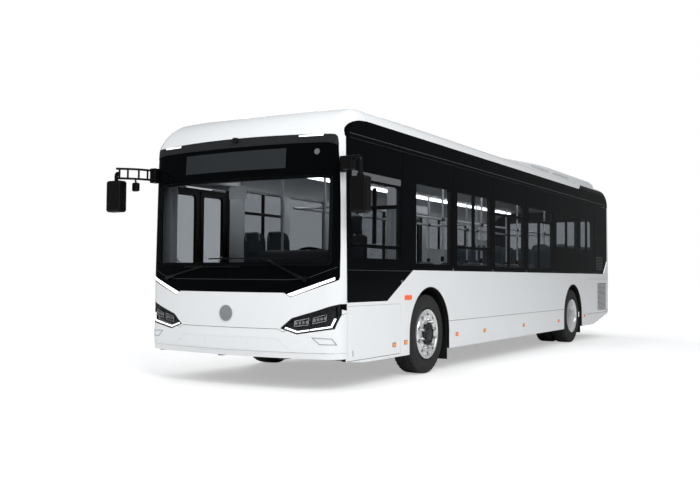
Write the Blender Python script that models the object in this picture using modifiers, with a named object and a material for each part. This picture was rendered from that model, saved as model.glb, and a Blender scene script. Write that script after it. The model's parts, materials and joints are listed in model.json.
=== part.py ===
"""Low-entry electric city bus, built as separate named pieces.

Metres, +Z up, ground at z = 0. The front faces -Y and the bus's left side is +X.
Every piece hangs from one empty that stands on the ground under the front axle, so a
station along the bus (s) is measured from the front axle, positive to the rear.
"""
from math import atan, cos, pi, radians, sin

import bmesh
import bpy
from mathutils import Matrix, Vector

# Overall sizes
WIDTH = 2.55
WHEELBASE = 6.00
FRONT_OVERHANG = 2.323
REAR_OVERHANG = 2.530
EAVE_Z = 2.600
ROOF_Z = 2.990
POD_TOP_Z = 3.090
FLOOR_Z = 0.380
DECK_Z = 0.800
BELT_Z = 1.245

# Clearances
GAP = 0.0003
SEAM_GAP = 0.0005
SEAT_GAP = 0.0008
RUN_GAP = 0.005

# Wheels
TYRE_RADIUS = 0.479
TYRE_WIDTH = 0.276
BEAD_RADIUS = 0.2860
WHEEL_STEPS = 24
TRACK_X = 1.100
TWIN_SPACING = 0.310
SPINDLE_RADIUS = 0.030
KINGPIN_X = 0.900
HAND_HOLES = 10

# Shell
WALL = 0.060
SKIN = 0.045
GLASS = 0.008
CORNER_RADIUS = 0.200
REAR_CORNER_RADIUS = 0.120
FRONT_BOW = 0.123
REAR_BOW = 0.015
FRONT_SEAM_S = -1.960
REAR_SEAM_S = 8.340
ARCH_HALF = 0.555
ARCH_TOP_Z = 1.050
REAR_ARCH_SHIFT = -0.050
SKIRT_Z = 0.270
BUMPER_Z = 0.330

# Doors on the right side
DOOR_HEAD_Z = 2.260
DOOR_LEAF = 0.035
POST_RADIUS = 0.016
ARM_THICK = 0.010
FRONT_DOOR = (-1.880, -0.780)
MIDDLE_DOOR = (3.570, 4.830)

# Cab and saloon
DASH_Z = 1.200
STEERING_X = 0.620
RAIL_RADIUS = 0.0175

HALF = WIDTH / 2
MIRROR_REACH = 1.620
MIRROR_LEAD = 0.250
FRONT_MOST = FRONT_OVERHANG + MIRROR_LEAD
FRONT_AXLE_Y = (FRONT_MOST - (WHEELBASE + REAR_OVERHANG)) / 2

# Colour, roughness, metallic
FINISHES = {
    "white_paint": ((0.80, 0.81, 0.82), 0.25, 0.0),
    "black_glass": ((0.010, 0.011, 0.012), 0.08, 0.0),
    "clear_glass": ((0.10, 0.11, 0.12), 0.05, 0.0),
    "black_plastic": ((0.020, 0.020, 0.021), 0.45, 0.0),
    "frame_steel": ((0.035, 0.036, 0.038), 0.50, 0.6),
    "tyre_rubber": ((0.018, 0.018, 0.018), 0.80, 0.0),
    "rim_alloy": ((0.78, 0.79, 0.80), 0.18, 1.0),
    "lamp_lens": ((0.55, 0.57, 0.60), 0.10, 0.0),
    "tail_lens": ((0.45, 0.02, 0.02), 0.15, 0.0),
    "floor_grey": ((0.16, 0.17, 0.18), 0.70, 0.0),
    "seat_shell": ((0.05, 0.07, 0.09), 0.45, 0.0),
    "rail_steel": ((0.60, 0.61, 0.62), 0.30, 1.0),
}

for stale in list(bpy.data.objects):
    bpy.data.objects.remove(stale, do_unlink=True)


def new_collection(name):
    collection = bpy.data.collections.new(name)
    bpy.context.scene.collection.children.link(collection)
    return collection


PARTS = new_collection("city_bus")
CUTTERS = new_collection("cutters")
BUS = bpy.data.objects.new("bus_frame", None)
BUS.location = (0, FRONT_AXLE_Y, 0)
PARTS.objects.link(BUS)


def finish(name):
    """The shared material of that finish."""
    material = bpy.data.materials.get(name)
    if material is None:
        colour, roughness, metallic = FINISHES[name]
        material = bpy.data.materials.new(name)
        material.use_nodes = True
        shader = material.node_tree.nodes["Principled BSDF"]
        shader.inputs["Base Color"].default_value = (*colour, 1)
        shader.inputs["Roughness"].default_value = roughness
        shader.inputs["Metallic"].default_value = metallic
    return material


def place(name, mesh, finish_name, place_at=(0, 0, 0), turn=(0, 0, 0), holder=None):
    """A new object: a part where it has a finish, a cutter where it has none."""
    obj = bpy.data.objects.new(name, mesh)
    obj.location = place_at
    obj.rotation_euler = turn
    obj.parent = holder or BUS
    if finish_name is None:
        CUTTERS.objects.link(obj)
        obj.hide_render = True
        obj.display_type = "WIRE"
        return obj
    PARTS.objects.link(obj)
    mesh.materials.clear()
    mesh.materials.append(finish(finish_name))
    mesh.shade_smooth()
    mesh.set_sharp_from_angle(angle=radians(30))
    return obj


def box(name, low, high, finish_name=None, bevel=0.0, holder=None):
    """A box between two corners, its origin at its middle."""
    size = [b - a for a, b in zip(low, high)]
    middle = [(a + b) / 2 for a, b in zip(low, high)]
    bm = bmesh.new()
    bmesh.ops.create_cube(bm, size=1.0)
    bmesh.ops.scale(bm, vec=size, verts=bm.verts)
    if bevel:
        bmesh.ops.bevel(bm, geom=bm.edges[:], offset=bevel, segments=2, affect="EDGES", profile=0.5)
    mesh = bpy.data.meshes.new(name)
    bm.to_mesh(mesh)
    bm.free()
    return place(name, mesh, finish_name, middle, holder=holder)


def solid_from_curve(name, curve, finish_name, place_at, turn, holder=None, flat=False):
    """A curve's own solid as a mesh with its caps welded."""
    guide = bpy.data.objects.new(name + "_guide", curve)
    PARTS.objects.link(guide)
    bpy.context.view_layer.update()
    depsgraph = bpy.context.evaluated_depsgraph_get()
    mesh = bpy.data.meshes.new_from_object(guide.evaluated_get(depsgraph))
    bpy.data.objects.remove(guide, do_unlink=True)
    bpy.data.curves.remove(curve)
    bm = bmesh.new()
    bm.from_mesh(mesh)
    bmesh.ops.remove_doubles(bm, verts=bm.verts, dist=0.00005)
    if flat:
        # Points in line give the fill triangles with no area: flipping their edges removes these
        level = [f for f in bm.faces if max(v.co.z for v in f.verts) - min(v.co.z for v in f.verts) < 0.00001]
        inside = [e for e in bm.edges if len(e.link_faces) == 2 and all(f in level for f in e.link_faces)]
        bmesh.ops.beautify_fill(bm, faces=level, edges=inside, method="ANGLE")
    bm.to_mesh(mesh)
    bm.free()
    mesh.name = name
    return place(name, mesh, finish_name, place_at, turn, holder)


# Turns that lay a flat outline's (u, v) on two of the bus's axes
SIDE_VIEW = (pi / 2, 0, pi / 2)
FRONT_VIEW = (pi / 2, 0, 0)
PLAN_VIEW = (0, 0, 0)


def outline(name, loops, view, middle, thickness, finish_name=None, holder=None):
    """A flat plate from one outer loop and any holes, centred at `middle` across its thickness.

    Side view takes (s, z) and a middle x, front view (x, z) and a middle s, plan (x, s) and a z.
    """
    curve = bpy.data.curves.new(name, "CURVE")
    curve.dimensions = "2D"
    curve.fill_mode = "BOTH"
    curve.extrude = thickness / 2
    for loop in loops:
        spline = curve.splines.new("POLY")
        spline.points.add(len(loop) - 1)
        for point, (u, v) in zip(spline.points, loop):
            point.co = (u, v, 0, 1)
        spline.use_cyclic_u = True
    at = {SIDE_VIEW: (middle, 0, 0), FRONT_VIEW: (0, middle, 0), PLAN_VIEW: (0, 0, middle)}[view]
    return solid_from_curve(name, curve, finish_name, at, view, holder, flat=True)


def arc(centre_u, centre_v, radius, start, end, steps, radius_v=None):
    """Points on an arc, angles in degrees."""
    high = radius if radius_v is None else radius_v
    angles = [radians(start + (end - start) * i / steps) for i in range(steps + 1)]
    return [(centre_u + radius * cos(a), centre_v + high * sin(a)) for a in angles]


def rounded(low_u, low_v, high_u, high_v, radius=0.04, steps=2):
    """A rectangle with round corners."""
    corners = ((high_u - radius, high_v - radius, 0), (low_u + radius, high_v - radius, 90),
               (low_u + radius, low_v + radius, 180), (high_u - radius, low_v + radius, 270))
    points = []
    for centre_u, centre_v, start in corners:
        points += arc(centre_u, centre_v, radius, start, start + 90, steps)
    return points


def tube(name, points, radius, finish_name=None, sides=2, holder=None):
    """A round bar along straight runs."""
    curve = bpy.data.curves.new(name, "CURVE")
    curve.dimensions = "3D"
    curve.bevel_depth = radius
    curve.bevel_resolution = sides
    curve.use_fill_caps = True
    spline = curve.splines.new("POLY")
    spline.points.add(len(points) - 1)
    for point, at in zip(spline.points, points):
        point.co = (*at, 1)
    return solid_from_curve(name, curve, finish_name, (0, 0, 0), (0, 0, 0), holder)


def turned(name, profile, finish_name, place_at, outward=1, steps=WHEEL_STEPS, closed=False, holder=None):
    """A shape turned about the X direction from (reach, radius) points, outer side first.

    The first point's reach is the highest. A half step of turn puts a flat facet at the bottom.
    """
    bm = bmesh.new()
    verts = [bm.verts.new((radius, 0, reach)) for reach, radius in profile]
    for first, second in zip(verts, verts[1:] + (verts[:1] if closed else [])):
        bm.edges.new((first, second))
    mesh = bpy.data.meshes.new(name)
    bm.to_mesh(mesh)
    bm.free()
    turn = Matrix.Rotation(outward * pi / 2, 3, "Y") @ Matrix.Rotation(pi / steps, 3, "Z")
    obj = place(name, mesh, finish_name, place_at, turn.to_euler(), holder)
    screw = obj.modifiers.new("turn", "SCREW")
    screw.axis = "Z"
    screw.angle = 2 * pi
    screw.steps = screw.render_steps = steps
    screw.use_merge_vertices = True
    screw.merge_threshold = 0.00005
    screw.use_smooth_shade = True
    return obj


def shell(name, outer, inner, finish_name=None):
    """A lofted wall between an outer and an inner skin, each a list of rows of points."""
    bm = bmesh.new()
    skins = [[[bm.verts.new(point) for point in row] for row in rows] for rows in (outer, inner)]
    for grid, outward in zip(skins, (True, False)):
        for low, high in zip(grid, grid[1:]):
            for a, b, c, d in zip(low, low[1:], high[1:], high):
                bm.faces.new((a, b, c, d) if outward else (d, c, b, a))
    rims = []
    for grid in skins:
        first, last = grid[0], grid[-1]
        sides = [row[-1] for row in grid[1:-1]], [row[0] for row in grid[-2:0:-1]]
        rims.append(first + sides[0] + last[::-1] + sides[1])
    for i in range(len(rims[0])):
        j = (i + 1) % len(rims[0])
        bm.faces.new((rims[0][j], rims[0][i], rims[1][i], rims[1][j]))
    mesh = bpy.data.meshes.new(name)
    bm.to_mesh(mesh)
    bm.free()
    return place(name, mesh, finish_name)


def combine(obj, operation, *others):
    """Add Boolean modifiers, one for each other object, which must be in the cutters."""
    for other in others:
        modifier = obj.modifiers.new(other.name, "BOOLEAN")
        modifier.operation = operation
        modifier.object = other
        modifier.solver = "EXACT"
    return obj


def cut(obj, *others):
    return combine(obj, "DIFFERENCE", *others)


def join(obj, *others):
    return combine(obj, "UNION", *others)


def keep(obj, *others):
    return combine(obj, "INTERSECT", *others)


def blend_table(table, at):
    """A value read off a short table of (position, value) rows."""
    if at <= table[0][0]:
        return table[0][1]
    for (low, first), (high, second) in zip(table, table[1:]):
        if at <= high:
            return first + (second - first) * (at - low) / (high - low)
    return table[-1][1]


# How far the front and rear faces lean back from plumb: (height, lean)
FRONT_LEAN = ((0.33, 0.030), (0.40, 0.010), (0.53, 0.0), (0.97, 0.006), (1.28, 0.015),
              (2.19, 0.060), (2.45, 0.080), (2.64, 0.105))
REAR_LEAN = ((0.45, 0.020), (0.60, 0.0), (1.20, 0.0), (1.50, 0.015), (2.64, 0.090))
FRONT_ROWS = (BUMPER_Z, 0.40, 0.53, 0.64, 0.80, 0.97, 1.28, 1.75, 2.19, 2.45)
REAR_ROWS = (0.45, 0.60, 1.20, 1.50, 2.05)
HEAD_ARCH = 0.040
CORNER_STEPS = 4
FACE_STEPS = 4


def end_plan(reach, bow, radius, seam, inset=0.0):
    """Half of an end face in plan, from the side seam to the middle, as (x, reach) points.

    The face is a shallow bow and meets the side in a tangent corner. Reach grows outwards.
    """
    half, far, bend = HALF - inset, reach - inset, radius - inset
    angle = radians(80)
    for _ in range(12):
        corner_x = half - bend * (1 - cos(angle))
        angle = pi / 2 - atan(2 * bow * corner_x)
    centre_reach = far - bow * corner_x ** 2 - bend * sin(angle)
    points = [(half, seam)]
    for i in range(CORNER_STEPS + 1):
        turn = angle * i / CORNER_STEPS
        points.append((half - bend * (1 - cos(turn)), centre_reach + bend * sin(turn)))
    for i in range(1, FACE_STEPS):
        x = corner_x * (1 - i / FACE_STEPS)
        points.append((x, far - bow * x ** 2))
    points.append((0.0, far))
    return points


def mirrored(half):
    """Both halves of a list of (x, other) points, from -x to +x."""
    return [(-x, other) for x, other in half] + half[-2::-1]


REAR_END_S = WHEELBASE + REAR_OVERHANG
ROOF_CROWN = 0.020
ROOF_RADIUS = 0.170


def roof_section(inset=0.0):
    """The roof in section from eave to eave, as (x, z) points."""
    half, bend = HALF - inset, ROOF_RADIUS - inset
    middle_x, middle_z = half - bend, ROOF_Z - ROOF_CROWN - ROOF_RADIUS
    points = [(half, EAVE_Z)]
    for i in range(CORNER_STEPS + 1):
        turn = pi / 2 * i / CORNER_STEPS
        points.append((middle_x + bend * cos(turn), middle_z + bend * sin(turn)))
    for i in range(1, FACE_STEPS + 1):
        x = middle_x * (1 - i / FACE_STEPS)
        points.append((x, ROOF_Z - inset - ROOF_CROWN * (x / middle_x) ** 2))
    return mirrored(points)


def end_row(z, inset, ahead):
    """One level row of an end's skin, or its arched head row where z is None.

    ahead is True for the front, whose row runs from -x to +x, and False for the rear.
    """
    if ahead:
        far, seam, bow, radius, lean = FRONT_OVERHANG, -FRONT_SEAM_S, FRONT_BOW, CORNER_RADIUS, FRONT_LEAN
    else:
        far, seam, bow, radius, lean = REAR_END_S, REAR_SEAM_S, REAR_BOW, REAR_CORNER_RADIUS, REAR_LEAN
    row = []
    plain = mirrored(end_plan(far, bow, radius, seam))
    for (x, reach), (_, outer_reach) in zip(mirrored(end_plan(far, bow, radius, seam, inset)), plain):
        weight = (outer_reach - seam) / (far - seam)
        head_lean = lean[-1][1]
        back = reach - weight * (head_lean if z is None else blend_table(lean, z))
        # The head row rises with its reach, so that it lies in one plane
        height = EAVE_Z + HEAD_ARCH * (back - seam) / (far - head_lean - seam) if z is None else z
        row.append((x, -back if ahead else back, height))
    return row if ahead else row[::-1]


def front_row(z, inset=0.0):
    return end_row(z, inset, True)


def rear_row(z, inset=0.0):
    return end_row(z, inset, False)


def cap_rows(start_row, roof_s, steps, slowness, inset=0.0):
    """Rows that roll from an end face's head over to the roof's section at roof_s."""
    section = roof_section(inset)
    if start_row[0][0] > 0:
        section.reverse()
    rows = []
    for i in range(steps + 1):
        turn = pi / 2 * i / steps
        back, rise = 1 - cos(turn), sin(turn) ** slowness
        rows.append([(x + (roof_x - x) * back, s + (roof_s - s) * back, z + (roof_z - z) * rise)
                     for (x, s, z), (roof_x, roof_z) in zip(start_row, section)])
    return rows


def roof_cap(name, row_of, roof_s, steps, slowness):
    """A cap between an end face's head and the roof, as thick as the skin.

    A slowness over 1 gives a slanted roll and one under 1 a squarer end.
    """
    skins = []
    for inset in (0.0, SKIN):
        start = [(x, s, z + SEAM_GAP) for x, s, z in row_of(None, inset)]
        skins.append(cap_rows(start, roof_s, steps, slowness, inset))
    return shell(name, *skins, "white_paint")


# Front face

MASK_X = 1.213
MASK_BACK_S = -2.070
LAMP_BACK_S = -2.020
FRONT_FAR_S = -2.80
MASK_OUTLINE = [(-0.70, 1.0), (0.70, 1.0), (0.775, 0.957), (MASK_X, 1.122), (MASK_X, 2.9), (-MASK_X, 2.9),
                (-MASK_X, 1.122), (-0.775, 0.957)]
SCREEN = (-1.15, 1.28, 1.15, 2.19)
LAMP_OUTLINE = [(0.673, 0.638), (0.85, 0.595), (1.25, 0.665), (1.262, 0.80), (1.262, 0.885), (1.10, 0.838),
                (0.80, 0.735)]
GLASS_SHEET = 0.012


def shrunk(loop, gap):
    """A loop drawn in towards its middle by a gap on each side."""
    middle_u = sum(u for u, _ in loop) / len(loop)
    middle_v = sum(v for _, v in loop) / len(loop)
    span_u = max(u for u, _ in loop) - middle_u
    span_v = max(v for _, v in loop) - middle_v
    return [(middle_u + (u - middle_u) * (1 - gap / span_u), middle_v + (v - middle_v) * (1 - gap / span_v))
            for u, v in loop]


def front_prism(name, loop, back_s):
    """A cutter that reaches from ahead of the bus back to back_s."""
    return outline(name, [loop], FRONT_VIEW, (FRONT_FAR_S + back_s) / 2, back_s - FRONT_FAR_S)


def front_skin(name, thickness, finish_name, rows=FRONT_ROWS):
    skins = [[front_row(z, inset) for z in (*rows, None)] for inset in (0.0, thickness)]
    return shell(name, *skins, finish_name)


def build_front():
    """Front surround, black mask, windscreen, headlamps and roof cap."""
    surround = front_skin("front_surround", SKIN, "white_paint")
    cut(surround, front_prism("mask_opening", MASK_OUTLINE, MASK_BACK_S))
    mask = front_skin("front_mask", SKIN, "black_glass")
    keep(mask, front_prism("mask_blank", [(u * (1 - GAP), v + GAP) for u, v in MASK_OUTLINE],
                           MASK_BACK_S - GAP))
    screen_loop = rounded(*SCREEN)
    cut(mask, front_prism("screen_opening", screen_loop, MASK_BACK_S + WALL))
    screen = front_skin("windscreen", GLASS_SHEET, "clear_glass")
    keep(screen, front_prism("screen_blank", shrunk(screen_loop, GAP), MASK_BACK_S + WALL))
    for side, sign in (("left", 1), ("right", -1)):
        loop = [(sign * u, v) for u, v in LAMP_OUTLINE]
        cut(surround, front_prism("lamp_opening_" + side, loop, LAMP_BACK_S))
        lamp = front_skin("headlamp_" + side, SKIN, "lamp_lens", rows=(0.53, 0.64, 0.80, 0.97, 1.28))
        keep(lamp, front_prism("lamp_blank_" + side, shrunk(loop, GAP), LAMP_BACK_S - GAP))
    roof_cap("front_roof_cap", front_row, ROOF_FRONT_S, 5, 1.6)


ROOF_FRONT_S = -1.580
ROOF_REAR_S = 8.050

# Side walls

ARCH_STEPS = 12
SIDE_BOTTOM = ((FRONT_SEAM_S + GAP, 0.300), (-1.600, SKIRT_Z))
SIDE_BOTTOM_REAR = ((7.300, SKIRT_Z), (REAR_SEAM_S - GAP, 0.440))
WINDOW_LOW, WINDOW_HIGH = 1.32, 2.28
# Window openings: (front, rear, sill)
LEFT_WINDOWS = ((-1.88, -0.79, 1.36), (-0.39, 0.60, WINDOW_LOW), (0.80, 1.95, WINDOW_LOW),
                (2.13, 3.35, WINDOW_LOW), (3.55, 4.78, WINDOW_LOW), (4.99, 6.21, 1.70),
                (6.44, 7.35, 1.67), (7.47, 8.24, 1.95))
RIGHT_WINDOWS = ((-0.47, 0.42, WINDOW_LOW), (0.56, 1.50, WINDOW_LOW), (1.64, 2.50, WINDOW_LOW),
                 (2.64, 3.40, WINDOW_LOW), (5.00, 6.21, 1.70), (6.44, 7.35, 1.67), (7.47, 8.24, 1.95))
PANE_SEAMS = (-0.75, 0.67, 2.04, 3.45, 4.88, 6.33, 7.42)
BAND_LOW_Z = 0.900
BAND_FRONT_S, BAND_REAR_S = -1.950, 8.320


def arch(centre_s):
    """A wheel arch's edge from its front foot over to its rear foot."""
    centre_z = ARCH_TOP_Z - ARCH_HALF
    return ([(centre_s - ARCH_HALF, SKIRT_Z)] + arc(centre_s, centre_z, ARCH_HALF, 180, 0, ARCH_STEPS)
            + [(centre_s + ARCH_HALF, SKIRT_Z)])


def band(doors, grow=0.0):
    """The black glazing band's outline, notched over each door."""
    front, rear, top = BAND_FRONT_S - grow, BAND_REAR_S + grow, EAVE_Z - GAP + grow
    points = [(front, BAND_LOW_Z - grow)]
    low_edge = ((-1.10, BAND_LOW_Z), (-0.47, BELT_Z), (8.05, BELT_Z), (rear, 1.500))
    for low, high in doors:
        points += [(u, v - grow) for u, v in low_edge if points[-1][0] < u < low]
        for u, v in ((low, None), (low, DOOR_HEAD_Z), (high, DOOR_HEAD_Z), (high, None)):
            edge = blend_table(((front, BAND_LOW_Z),) + low_edge, u) if v is None else v
            points.append((u + grow if u == low else u - grow, edge - grow))
    points += [(u, v - grow) for u, v in low_edge if u > points[-1][0]]
    return points + [(rear, top), (front, top)]


def build_side(side, sign, windows, doors):
    """One side wall with its openings, and the bonded glass band on its outside."""
    loop = [*SIDE_BOTTOM, *arch(0), *arch(WHEELBASE + REAR_ARCH_SHIFT), *SIDE_BOTTOM_REAR,
            (REAR_SEAM_S - GAP, EAVE_Z - GAP), (FRONT_SEAM_S + GAP, EAVE_Z - GAP)]
    holes = [rounded(low, sill, high, WINDOW_HIGH) for low, high, sill in windows]
    holes += [[(low, FLOOR_Z), (high, FLOOR_Z), (high, DOOR_HEAD_Z), (low, DOOR_HEAD_Z)]
              for low, high in doors]
    wall = outline(side + "_wall", [loop, *holes], SIDE_VIEW, sign * (HALF - WALL / 2), WALL,
                   "white_paint")
    depth = GLASS + 2 * WALL
    cut(wall, outline(side + "_band_seat", [band(doors, GAP)], SIDE_VIEW,
                      sign * (HALF - GLASS - GAP + depth / 2), depth))
    outline(side + "_glazing", [band(doors)], SIDE_VIEW, sign * (HALF - GLASS / 2), GLASS, "black_glass")


# Roof

POD_HALF = 1.080
POD_EDGE = 0.040
POD_LINE = ((2.30, 2.960), (3.70, 3.035), (4.60, 3.080), (5.10, POD_TOP_Z), (7.70, POD_TOP_Z), (8.02, 3.050))


def build_roof():
    """The roof shell, its rear cap and the equipment pod on it."""
    skins = [[[(x, s, z) for x, z in roof_section(inset)] for s in (ROOF_FRONT_S + GAP, ROOF_REAR_S - GAP)]
             for inset in (0.0, SKIN)]
    shell("roof", *skins, "white_paint")
    roof_cap("rear_roof_cap", rear_row, ROOF_REAR_S, 4, 0.8)
    section = roof_section()
    under = [(x, z + GAP) for x, z in section if abs(x) < POD_HALF]
    edge_z = blend_table(sorted((x, z) for x, z in section if x >= 0), POD_HALF) + GAP
    loop = ([(-POD_HALF, edge_z)] + under + [(POD_HALF, edge_z)]
            + arc(POD_HALF - POD_EDGE, POD_TOP_Z - POD_EDGE, POD_EDGE, 0, 90, 3)
            + arc(POD_EDGE - POD_HALF, POD_TOP_Z - POD_EDGE, POD_EDGE, 90, 180, 3))
    front, rear = POD_LINE[0][0], POD_LINE[-1][0]
    pod = outline("roof_pod", [loop], FRONT_VIEW, (front + rear) / 2, rear - front, "white_paint")
    keep(pod, outline("pod_line", [[*POD_LINE, (rear, EAVE_Z), (front, EAVE_Z)]], SIDE_VIEW, 0, 2 * WIDTH))


# Rear face

REAR_FAR_S = 9.00
REAR_WINDOW = (-0.92, 1.68, 0.92, 2.36)
LID = (-0.98, 0.66, 0.98, 1.46)
TAIL_LAMP = (1.06, 0.78, 1.20, 1.38)


def rear_prism(name, loop, front_s):
    return outline(name, [loop], FRONT_VIEW, (REAR_FAR_S + front_s) / 2, REAR_FAR_S - front_s)


def rear_skin(name, thickness, finish_name):
    skins = [[rear_row(z, inset) for z in (*REAR_ROWS, None)] for inset in (0.0, thickness)]
    return shell(name, *skins, finish_name)


def build_rear():
    """Rear wall, window, service lid and tail lamps."""
    wall = rear_skin("rear_wall", SKIN, "white_paint")
    window_loop = rounded(*REAR_WINDOW)
    cut(wall, rear_prism("rear_window_opening", window_loop, REAR_SEAM_S))
    window = rear_skin("rear_window", GLASS_SHEET, "clear_glass")
    keep(window, rear_prism("rear_window_blank", shrunk(window_loop, GAP), REAR_SEAM_S))
    cut(wall, rear_prism("lid_opening", rounded(*LID), REAR_SEAM_S))
    lid = rear_skin("rear_service_lid", 0.030, "white_paint")
    # The lid is hinged along its top edge, which hardly moves and needs no running gap
    low_x, low_z, high_x, high_z = LID
    lid_loop = rounded(low_x + RUN_GAP, low_z + RUN_GAP, high_x - RUN_GAP, high_z - GAP)
    keep(lid, rear_prism("lid_blank", lid_loop, REAR_SEAM_S))
    low_x, low_z, high_x, high_z = TAIL_LAMP
    for side, sign in (("left", 1), ("right", -1)):
        edges = sorted((sign * low_x, sign * high_x))
        loop = rounded(edges[0], low_z, edges[1], high_z, 0.03)
        cut(wall, rear_prism("tail_opening_" + side, loop, REAR_SEAM_S))
        lamp = rear_skin("tail_lamp_" + side, SKIN, "tail_lens")
        keep(lamp, rear_prism("tail_blank_" + side, shrunk(loop, GAP), REAR_SEAM_S + GAP))


build_front()
build_side("left", 1, LEFT_WINDOWS, ())
build_side("right", -1, RIGHT_WINDOWS, (FRONT_DOOR, MIDDLE_DOOR))
build_roof()
build_rear()


# Wheels and axles

CENTRE_Z = TYRE_RADIUS
# Half of a tyre's section from the bead to the tread: (reach from its middle, radius)
TYRE_SECTION = ((0.1032, BEAD_RADIUS + GAP), (0.1032, 0.309), (TYRE_WIDTH / 2, 0.375), (0.134, 0.440),
                (0.112, None))
FLANGE = 0.305
BARREL = 0.2855
FRONT_RIM = ((0.160, 0.0), (0.155, 0.080), (0.130, 0.095), (0.128, 0.160), (0.118, 0.215), (0.090, 0.262),
             (0.106, 0.285), (0.118, 0.285), (0.118, FLANGE), (0.1045, FLANGE), (0.1045, BARREL),
             (-0.1045, BARREL), (-0.1045, FLANGE), (-0.118, FLANGE), (-0.118, 0.285), (-0.100, 0.268),
             (0.070, 0.250), (0.105, 0.205), (0.113, 0.120), (-0.050, 0.110), (-0.050, 0.0308),
             (0.130, 0.0308), (0.130, 0.0))
TWIN_HUB = ((0.130, 0.0), (0.120, 0.105), (0.012, 0.118), (0.012, 0.215))
# Half of the twin rims' barrel, read from the joint face outwards
TWIN_BARREL = ((0.030, 0.255), (0.240, 0.262), (0.273, 0.285), (0.273, FLANGE), (0.2595, FLANGE),
               (0.2595, BARREL), (0.0505, BARREL), (0.0505, FLANGE), (0.034, FLANGE), (0.012, 0.268))
HOLE_RADIUS = 0.028
HOLE_CIRCLE = 0.190
HOLE_MIDDLE = 0.110


def tyre(name, x, s, holder=None):
    tread = TYRE_RADIUS / cos(pi / WHEEL_STEPS)
    half = [(reach, tread if radius is None else radius) for reach, radius in TYRE_SECTION]
    profile = half + [(-reach, radius) for reach, radius in half[::-1]]
    turned(name, profile, "tyre_rubber", (x, s, CENTRE_Z), closed=True, holder=holder)


def hand_hole_cutter(name, x, s, sign, depth):
    """A ring of round bars through a wheel's disc, joined by a hub that the bars grow from."""
    bm = bmesh.new()
    for i in range(HAND_HOLES):
        spin = Matrix.Rotation(2 * pi * (i + 0.5) / HAND_HOLES, 4, "X")
        hole = bmesh.ops.create_cone(bm, cap_ends=True, segments=6, radius1=HOLE_RADIUS, radius2=HOLE_RADIUS,
                                     depth=depth)
        turn = spin @ Matrix.Translation((0, 0, HOLE_CIRCLE)) @ Matrix.Rotation(pi / 2, 4, "Y")
        bmesh.ops.transform(bm, matrix=turn, verts=hole["verts"])
    mesh = bpy.data.meshes.new(name)
    bm.to_mesh(mesh)
    bm.free()
    return place(name, mesh, None, (x + sign * HOLE_MIDDLE, s, CENTRE_Z))


def build_wheels():
    """Six tyres, two front rims with their hubs and two twin rear rims."""
    for side, sign in (("left", 1), ("right", -1)):
        x = sign * TRACK_X
        tyre("front_tyre_" + side, x, 0)
        rim = turned("front_rim_" + side, FRONT_RIM, "rim_alloy", (x, 0, CENTRE_Z), outward=sign)
        cut(rim, hand_hole_cutter("front_holes_" + side, x, 0, sign, 0.09))
        tyre("rear_outer_tyre_" + side, x, WHEELBASE)
        tyre("rear_inner_tyre_" + side, x - sign * TWIN_SPACING, WHEELBASE)
        middle = x - sign * TWIN_SPACING / 2
        inner_hub = ((-0.012, 0.215), (-0.012, 0.150), (-0.100, 0.150), (-0.100, 0.0308), (0.085, 0.0308),
                     (0.085, 0.0))
        barrel = list(TWIN_BARREL)
        profile = [*TWIN_HUB, *barrel, *[(-reach, radius) for reach, radius in barrel[::-1]], *inner_hub]
        turned("rear_rims_" + side, profile, "rim_alloy", (middle, WHEELBASE, CENTRE_Z), outward=sign)


BEAM_Z = 0.215
BEAM_HALF = 0.045
EYE_LOW, EYE_HIGH = 0.405, 0.555
PAD_X = 0.420
RAIL_LOW_Z, RAIL_HIGH_Z = 0.275, 0.3497
REAR_RAIL_Z = 0.620


def rod(name, low, high, radius, sides=12, finish_name=None):
    """A round bar between two points."""
    low, high = Vector(low), Vector(high)
    bm = bmesh.new()
    bmesh.ops.create_cone(bm, cap_ends=True, segments=sides, radius1=radius, radius2=radius,
                          depth=(high - low).length)
    bmesh.ops.rotate(bm, matrix=(high - low).to_track_quat("Z", "Y").to_matrix(), verts=bm.verts)
    mesh = bpy.data.meshes.new(name)
    bm.to_mesh(mesh)
    bm.free()
    return place(name, mesh, finish_name, (low + high) / 2)


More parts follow.
